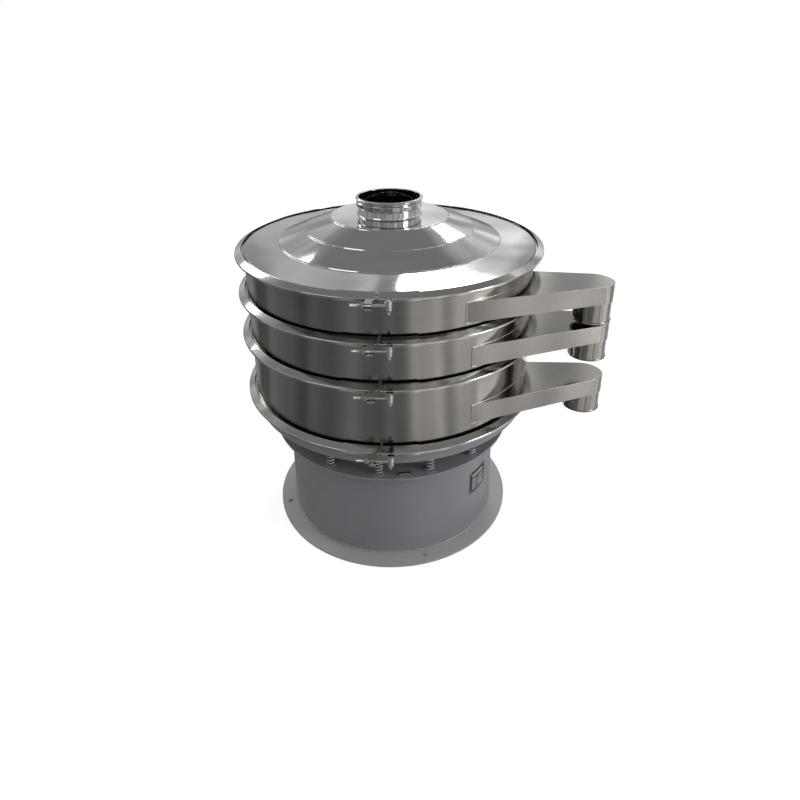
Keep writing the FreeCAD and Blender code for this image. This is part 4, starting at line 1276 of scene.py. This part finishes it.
@dataclass
class Clamp:
    """Split V ring with strap ends, hinge lug, forked saddle and swing bolt."""

    number: int
    body: str
    joint: float
    nut_finish: Finish = FINISH.fastener
    azimuth: float = -94.0
    nose_r: float = 0.530
    lip_r: float = 0.509
    half_h: float = 0.015
    nose_half: float = 0.0035
    sheet: float = 0.0025
    gap_angle: float = 0.4
    strap_angle: float = 13.0
    line_r: float = 0.553
    drop: float = 0.006
    bolt_r: float = 0.005
    bolt_len: float = 0.105
    eye_r: float = 0.010
    eye_h: float = 0.012
    pin_r: float = 0.005
    pin_at: float = 0.032
    washer_at: float = 0.065
    washer_r: float = 0.011
    washer_t: float = 0.0025
    lug_t: float = 0.004
    lug_root_r: float = 0.520
    web_r: tuple[float, float] = (0.512, 0.542)
    web_half: float = 0.0102
    face_r: float = 0.0647
    arm_t: float = 0.006
    arm_out: float = 0.012
    saddle_len: float = 0.022
    slack: float = 0.00005
    block_soft: float = 0.0007
    pin_low: float = 0.025
    pin_head_r: float = 0.008
    pin_nut: tuple[float, float] = (0.016, 0.0065)
    nut: tuple[float, float] = (0.017, 0.010)
    thread_from: float = 0.045
    thread_pitch: float = 0.0015
    thread_depth: float = 0.0006

    def place(self, points: Array) -> Array:
        """Closure axes to the machine's: X outward, Y along increasing azimuth, Z from the joint."""
        return spun(points, self.azimuth, self.joint)

    def v_lines(self, grow: float) -> tuple[Array, Array]:
        """Outer and inner lines of the V sheet as (radius, height), grown outward along its normals."""
        slope = (self.half_h - self.nose_half) / (self.nose_r - self.lip_r)
        skew = math.hypot(1.0, slope)

        def line(offset: float) -> Array:
            nose = self.nose_half + offset * (skew - slope)
            half = self.half_h + offset * skew
            radius = self.nose_r + offset
            corners = [(self.lip_r, half), (radius, nose), (radius, -nose), (self.lip_r, -half)]
            return soften(corners, 0.0036, 6, closed=False)
        return line(grow), line(grow - self.sheet)

    def channel(self, grow: float, start: float, sweep: float, steps: int) -> Skin:
        """V sheet carried round Z between two azimuths, with rounded lips and closed ends."""
        outer, inner = self.v_lines(grow)
        rows = revolve(np.vstack([outer, inner[::-1]]), start, sweep, steps)
        skin = Skin().add(rows, wrap_v=True)
        half = len(outer)
        for end in (0, -1):
            skin.add(np.stack([rows[end, :half], rows[end, half:][::-1]]))
        return skin

    def build(self) -> None:
        """Builds the ring, the pin and the swing bolt with its washer and nut."""
        self.ring()
        self.pin()
        self.bolt()
        self.washer_and_nut()

    def ring(self) -> None:
        """Band, straps, lug and saddle as one welded piece."""
        skin = self.channel(0.0, self.gap_angle, FULL - 2 * self.gap_angle, 360)
        span = self.strap_angle - self.gap_angle
        for start in (self.gap_angle, -self.strap_angle):
            skin.join(self.channel(self.sheet, start, span, 24))
        back, front = self.pin_at - self.eye_r, self.pin_at + self.eye_r
        around = np.radians(np.linspace(-90, 90, 17))
        nose = np.column_stack([self.line_r + self.eye_r * np.cos(around), self.pin_at + self.eye_r * np.sin(around)])
        plate = np.vstack([nose, [(self.lug_root_r, front), (self.lug_root_r, back)]])
        for level in (1, -1):
            inner_z = -self.drop + level * (self.eye_h / 2 + 0.0002)
            low = min(inner_z, inner_z + level * self.lug_t)
            skin.block(plate, low, low + self.lug_t, self.block_soft)
        root, tip = self.web_r
        web = soften([(root, back), (tip, back), (tip, front), (root, front)], MILLIMETRE, 3)
        skin.block(web, -self.drop - self.web_half, -self.drop + self.web_half, self.block_soft)
        skin.join(self.saddle())
        skin.moved(self.place)
        make_piece("clamp_ring_%d" % self.number, skin, FINISH.clamp,
                   Ride(self.body, ("clamp_%d_band" % self.number,), "clamp_steel"), bevel=0.0005)

    def saddle(self) -> Skin:
        """Forked block: a back and two arms. In plan each ends towards the washer on a circle round the pin."""
        skin = Skin()
        slot = self.bolt_r + 0.0006

        def outline(inner: float, outer: float) -> Array:
            x = np.linspace(inner, outer, 9)
            y = self.pin_at - np.sqrt(self.face_r ** 2 - (x - self.line_r) ** 2)
            end = self.pin_at - self.face_r + self.saddle_len
            return np.vstack([np.column_stack([x, y]), [(outer, end), (inner, end)]])
        arm = outline(self.line_r - slot - 0.0015, self.line_r + self.arm_out)
        back = outline(self.web_r[0], self.line_r - slot)
        for plan, low, high in ((arm, slot, slot + self.arm_t), (arm, -slot - self.arm_t, -slot),
                                (back, -slot - self.arm_t, slot + self.arm_t)):
            skin.block(plan, low - self.drop, high - self.drop, 0.0008)
        return skin

    def pin(self) -> None:
        """Hinge pin with a domed head above and a hexagon nut below."""
        over = self.eye_h / 2 + 0.0002 + self.lug_t
        top, low, head = over - self.drop, -over - self.drop, self.pin_head_r
        end = -self.drop - self.pin_low
        profile = soften([(0.0, end), (self.pin_r, end), (self.pin_r, top), (head, top), (head, top + 0.0045),
                          (head / 2, top + 0.0065), (0.0, top + 0.0065)], 0.0012, 4, closed=False)
        skin = Skin().add(revolve(profile, steps=48), wrap_u=True)
        nut = Skin().add(hexagon_grid(*self.pin_nut, self.pin_r - 0.0005), wrap_u=True, wrap_v=True)
        nut.moved(lambda points: laid(points, (0.0, 0.0, low), (0.0, 0.0, -1.0), (1.0, 0.0, 0.0)))
        skin.join(nut).moved(lambda points: self.place(points + np.array([self.line_r, self.pin_at, 0.0])))
        make_piece("clamp_hinge_%d" % self.number, skin, FINISH.fastener,
                   Ride(self.body, ("clamp_%d_pin" % self.number,), "fastener_steel"))

    def bolt(self) -> None:
        """Eye on the pin and a threaded shank.

        The thread's radius is r - depth * |2 (z / pitch - a / 360) mod 2 - 1|, a tooth wave along the shank that
        turns once in each pitch.
        """
        line = np.array([self.line_r, self.pin_at, -self.drop])
        bore, half = self.pin_r + self.slack, self.eye_h / 2
        ring = soften([(bore, -half), (self.eye_r, -half), (self.eye_r, half), (bore, half)], 0.0012, 4)
        eye = Skin().lathe(ring, steps=64).moved(lambda points: self.place(points + line))
        start, pitch, tip = self.thread_from, self.thread_pitch, 0.0012
        azimuth = np.linspace(0.0, FULL, 32, endpoint=False)[:, None]
        plain = np.array([0.0088, 0.0095, start - MILLIMETRE])
        rows = np.concatenate([plain, np.arange(start, self.bolt_len - 0.0002, pitch / 6), [self.bolt_len]])[None, :]
        tooth = np.abs((2 * (rows / pitch - azimuth / FULL)) % 2 - 1)
        cut = np.clip((rows - start) / pitch, 0, 1)
        end = np.clip((rows - (self.bolt_len - tip)) / tip, 0, 1) * tip
        radius = np.minimum(self.bolt_r - 0.0001 - self.thread_depth * tooth * cut, self.bolt_r - end)
        shank = polar(azimuth, radius, rows)
        body = Skin().add(shank, wrap_u=True)
        body.cap(shank[:, 0])
        body.cap(shank[:, -1])
        body.moved(self.along(line))
        make_piece("swing_bolt_%d" % self.number, eye.join(body), FINISH.fastener,
                   Ride("swing_bolt_%d" % self.number, ("clamp_%d_bolt" % self.number,), "fastener_steel"))

    def along(self, origin: Array) -> Move:
        """Function that lays points along the closed bolt from an origin in the closure's axes."""
        return lambda points: self.place(laid(points, origin, (0.0, -1.0, 0.0), (1.0, 0.0, 0.0)))

    def washer_and_nut(self) -> None:
        """Washer against the saddle and the nut behind it."""
        face = np.array([self.line_r, self.pin_at - self.washer_at, -self.drop])
        bore, rim, thick = self.bolt_r + self.slack, self.washer_r, self.washer_t
        ring = soften([(bore, 0.0), (rim, 0.0), (rim, thick), (bore, thick)], 0.0004, 3)
        washer = Skin().lathe(ring, steps=64).moved(self.along(face))
        make_piece("clamp_washer_ring_%d" % self.number, washer, FINISH.fastener,
                   Ride("washer_%d" % self.number, ("clamp_%d_washer" % self.number,), "fastener_steel"))
        seat = face - np.array([0.0, thick, 0.0])
        nut = Skin().add(hexagon_grid(*self.nut, bore), wrap_u=True, wrap_v=True).moved(self.along(seat))
        slot = "yellow_plate" if self.nut_finish is FINISH.yellow else "fastener_steel"
        make_piece("clamp_hexagon_%d" % self.number, nut, self.nut_finish,
                   Ride("nut_%d" % self.number, ("clamp_%d_nut" % self.number,), slot))


# ---------------------------------------------------------------- lid

@dataclass
class Lid:
    """Spun cover in three stepped rings with its feed collar."""

    joint: float = 1.042
    flange_r: float = 0.52143
    edge_r: float = 0.501
    edge_rise: float = 0.010
    sheet: float = 0.0022
    step: float = 0.004
    step_run: float = 0.0025
    ridges: tuple = ((0.383, 0.023), (0.294, 0.061), (0.2045, 0.097))
    collar_r: float = 0.107
    collar_wall: float = 0.002
    collar_seat: float = 0.105
    flange_low: float = 0.002
    flange_high: float = 0.005
    collar_foot: float = 0.006
    bead_r: float = 0.1125
    bead_side_r: float = 0.1107
    lip_r: float = 0.1130
    lip_out_r: float = 0.1160
    collar_marks: tuple = (0.026, 0.028, 0.0298, 0.0432, 0.045, 0.047, 0.053, 0.0565, 0.060)

    def build(self) -> None:
        """Builds the cover and the collar."""
        self.cover()
        self.collar()

    def cover(self) -> None:
        """Skin line from the rim to the collar, with each step a soft fold, and the same line under it."""
        line = [(self.edge_r, self.edge_rise)]
        for radius, rise in self.ridges:
            line += [(radius, rise), (radius - self.step_run, rise + self.step)]
        top = np.array(line + [(self.collar_r - self.collar_wall, self.collar_seat)])
        under = top[1:][::-1] - [0.0, self.sheet]
        inner = self.edge_r - self.sheet
        rim = [(self.flange_r, self.flange_low), (self.flange_r, self.flange_high), (self.edge_r, self.flange_high)]
        corners = np.vstack([rim, top, under, [(inner, 0.007), (inner, self.flange_low)]])
        profile = soften(corners, 0.0024, 5) + [0.0, self.joint]
        make_piece("cover", Skin().lathe(profile, steps=ROUND_STEPS), FINISH.lid,
                   Ride("upper_frame", ("lid",), "lid_steel"), sharp=60.0)

    def collar(self) -> None:
        """Neck with its weld foot, raised bead band and rolled lip, at marks of height over its seat."""
        neck, foot = self.collar_r, self.collar_foot
        bore = neck - self.collar_wall
        radii = (neck, self.bead_side_r, self.bead_r, self.bead_r, self.bead_side_r, neck, neck)
        band = list(zip(radii, self.collar_marks))
        under, middle, top = self.collar_marks[-3:]
        line = [(bore, 0.0), (neck + foot, 0.0), (neck + 0.0021, 0.0021), (neck, foot), *band,
                (self.lip_r, under), (self.lip_out_r, middle), (self.lip_r, top), (bore, top)]
        profile = soften(line, 0.0016, 5) + [0.0, self.joint + self.collar_seat]
        make_piece("inlet_collar", Skin().lathe(profile), FINISH.collar,
                   Ride("upper_frame", ("feed_collar",), "lid_steel"), sharp=60.0)


# ---------------------------------------------------------------- carried-over solids

def dress_solids(nodes: dict) -> None:
    """Gives each solid that still shows its finish, by node name."""
    finishes = {
        "foot_flange": FINISH.base, "nameplate_rivets": FINISH.fastener, "lower_seats": FINISH.base,
        "upper_seats": FINISH.base, "table_ribs": FINISH.base, "table_gasket": FINISH.seal,
        "motor_housing": FINISH.motor, "terminal_box": FINISH.motor, "motor_bolts": FINISH.fastener,
        "motor_bearings": FINISH.fastener, "motor_shaft": FINISH.fastener, "upper_weight": FINISH.iron,
        "lower_weight": FINISH.iron, "bottom_pan": FINISH.drum, "lid_gasket": FINISH.seal,
        "lower_screen_ring": FINISH.drum, "upper_screen_ring": FINISH.drum, "lower_mesh": FINISH.mesh,
        "upper_mesh": FINISH.mesh, "lower_ball_tray": FINISH.drum, "upper_ball_tray": FINISH.drum,
        "lower_balls": FINISH.ball, "upper_balls": FINISH.ball, "lower_gasket": FINISH.seal,
        "upper_gasket": FINISH.seal}
    for name, finish in finishes.items():
        data = nodes[name].data
        data.materials.clear()
        data.materials.append(finish.material())
        LOG.info("%s: solid in %s", name, finish.name)


# ---------------------------------------------------------------- studio

@dataclass
class Studio:
    """Pale floor, soft lamps and the camera."""

    distance: float = 2.09497
    camera_z: float = 1.70054
    pitch: float = 0.39762
    roll: float = -0.00720
    yaw: float = 0.01646
    lens: float = 28.071
    shift_y: float = -0.125
    sensor: float = 36.0
    floor_half: float = 60.0
    paper: float = 0.46
    glow: float = 0.66
    foot_r: float = 0.446
    aim: tuple[float, float, float] = (0.0, 0.0, 0.6)
    lamps: tuple = (
        ("key", 9.0, (1.5, 1.1), (-2.3, -1.9, 3.0)), ("window_left", 30.0, (0.9, 1.5), (-2.4, 2.3, 3.1)),
        ("window_back", 30.0, (1.5, 0.8), (0.9, 3.0, 3.4)), ("side", 58.0, (0.9, 2.2), (3.0, -1.6, 1.7)))
    window_turns: float = 3.1
    ambient: float = 0.80

    def build(self) -> None:
        """Builds the floor, the lamps, the sky and the camera."""
        self.floor()
        for name, power, size, place in self.lamps:
            self.lamp(name, power, size, place)
        self.sky()
        self.camera()

    def floor(self) -> None:
        """Wide pale floor that glows to the camera and in patches to reflections, with painted shade under the foot:
        its glow is cut inside the foot's radius.
        """
        mesh = bpy.data.meshes.new("studio_floor")
        far = self.floor_half
        mesh.from_pydata([(-far, -far, 0), (far, -far, 0), (far, far, 0), (-far, far, 0)], [], [(0, 1, 2, 3)])
        floor = bpy.data.objects.new("studio_floor", mesh)
        bpy.context.scene.collection.objects.link(floor)
        material = bpy.data.materials.new("studio_floor")
        material.use_nodes = True
        board = Board(material.node_tree)
        out = board.add("ShaderNodeOutputMaterial")
        mirrored = board.mirrored()
        where = board.add("ShaderNodeTexCoord").outputs["Object"]
        away = board.add("ShaderNodeVectorMath", {0: where}, operation="LENGTH").outputs["Value"]
        side = board.add("ShaderNodeVectorMath", {0: where}, operation="NORMALIZE").outputs["Vector"]
        patches = board.remap(board.noise(side, 2.6, 2.0), 0.36, 0.62, 0.45, 1.30)
        room = board.product(patches, board.remap(board.split(side)[0], -0.9, 0.7, 0.50, 1.20))
        change = board.product(mirrored, board.math("SUBTRACT", room, 1.0))
        tint = board.product(board.math("ADD", 1.0, change), self.paper)
        paper = board.add("ShaderNodeBsdfDiffuse", {"Color": board.join(tint, tint, tint)}).outputs[0]
        shine = board.product(mirrored, board.remap(room, 0.9, 1.5, 0.0, 0.30))
        shine = board.math("ADD", board.product(board.seen(), self.glow), shine)
        # Painted shade: no glow inside the foot's radius, so the floor under the foot flange and in its bolt holes
        # reads dark.
        shine = board.product(shine, board.remap(away, self.foot_r, self.foot_r + 0.004))
        glow = board.add("ShaderNodeEmission", {"Color": (1.0, 1.0, 1.0, 1.0), "Strength": shine}).outputs[0]
        board.feed(out, {"Surface": board.add("ShaderNodeAddShader", {0: paper, 1: glow}).outputs[0]})
        floor.data.materials.append(material)

    def lamp(self, name: str, power: float, size: tuple[float, float], place: Sequence[float]) -> None:
        """Area lamp that looks at the middle of the machine."""
        data = bpy.data.lights.new(name, "AREA")
        data.energy = power
        data.shape = "RECTANGLE"
        data.size, data.size_y = size
        lamp = bpy.data.objects.new(name, data)
        bpy.context.scene.collection.objects.link(lamp)
        way = np.array(self.aim) - np.array(place)
        way /= np.linalg.norm(way)
        side = np.cross(way, UP)
        side /= np.linalg.norm(side)
        axes = np.stack([side, np.cross(side, way), -way, place], -1)
        lamp.matrix_world = Matrix([*axes.tolist(), [0.0, 0.0, 0.0, 1.0]])

    def sky(self) -> None:
        """World: white to the camera, even grey to matt surfaces, and a hall with tall windows in reflections."""
        world = bpy.data.worlds.new("studio_sky")
        world.use_nodes = True
        board = Board(world.node_tree)
        out = board.add("ShaderNodeOutputWorld")
        way = board.add("ShaderNodeTexCoord").outputs["Generated"]
        east, north, up = board.split(way)
        turn = board.product(board.math("ARCTAN2", east, north), self.window_turns)
        post = board.math("ABSOLUTE", board.math("SUBTRACT", board.math("FRACT", turn), 0.5))
        haze = board.remap(board.noise(way, 4.5, 2.0), 0.40, 0.60, 0.35, 1.0)
        panes = board.product(board.remap(up, 0.03, 0.16), board.remap(up, 0.74, 0.56),
                              board.remap(post, 0.33, 0.42, 1.0, 0.15),
                              board.remap(east, -0.30, 0.25, 0.42, 0.95), haze)
        room = board.math("ADD", board.remap(up, 0.0, 0.7, 0.50, 0.30), panes)
        wires = {0: board.mirrored(), 2: self.ambient, 3: room}
        shade = board.add("ShaderNodeMix", wires, data_type="FLOAT").outputs[0]
        strength = board.math("MAXIMUM", shade, board.seen())
        back = board.add("ShaderNodeBackground", {"Color": (1.0, 1.0, 1.0, 1.0), "Strength": strength})
        board.feed(out, {"Surface": back.outputs[0]})
        bpy.context.scene.world = world

    def camera(self) -> None:
        """Camera in front of the closures, above the lid, looking down."""
        data = bpy.data.cameras.new("view")
        data.lens = self.lens
        data.sensor_width = self.sensor
        data.shift_y = self.shift_y
        data.clip_end = 200.0
        camera = bpy.data.objects.new("view", data)
        bpy.context.scene.collection.objects.link(camera)
        level = np.array([math.sin(self.yaw), math.cos(self.yaw), 0.0])
        right = np.array([math.cos(self.yaw), -math.sin(self.yaw), 0.0])
        up = np.array(UP)
        ahead = math.cos(self.pitch) * level - math.sin(self.pitch) * up
        over = math.sin(self.pitch) * level + math.cos(self.pitch) * up
        axis_x = math.cos(self.roll) * right + math.sin(self.roll) * over
        axis_y = -math.sin(self.roll) * right + math.cos(self.roll) * over
        axes = np.stack([axis_x, axis_y, -ahead, [0.0, -self.distance, self.camera_z]], -1)
        camera.matrix_world = Matrix([*axes.tolist(), [0.0, 0.0, 0.0, 1.0]])
        bpy.context.scene.camera = camera
        bpy.context.scene.view_settings.view_transform = "Standard"


def main() -> None:
    """Builds the machine on its frame, dresses it and sets the studio round it."""
    logging.basicConfig(level=logging.INFO, format="%(name)s %(message)s")
    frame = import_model()
    Base().build()
    Springs().build()
    Table().build()
    for name, body, joint, pitch, root_az, rise in (
            ("bottom", "bottom_frame", 0.533, 0.220, -59.6, 0.043),
            ("middle", "middle_frame", 0.753, 0.151, -60.4, 0.028),
            ("upper", "upper_frame", 0.904, 0.138, -63.5, 0.028)):
        Drum(name + "_drum", body, joint, pitch, Spout(name + "_spout", body, root_az, joint + rise)).build()
    for number, body, joint in ((1, "upper_frame", 1.042), (2, "middle_frame", 0.904), (3, "bottom_frame", 0.753),
                                (4, "table", 0.533)):
        Clamp(number, body, joint, FINISH.yellow if number == 4 else FINISH.fastener).build()
    Lid().build()
    dress_solids(frame["nodes"])
    Studio().build()


if __name__ == "__main__":
    main()
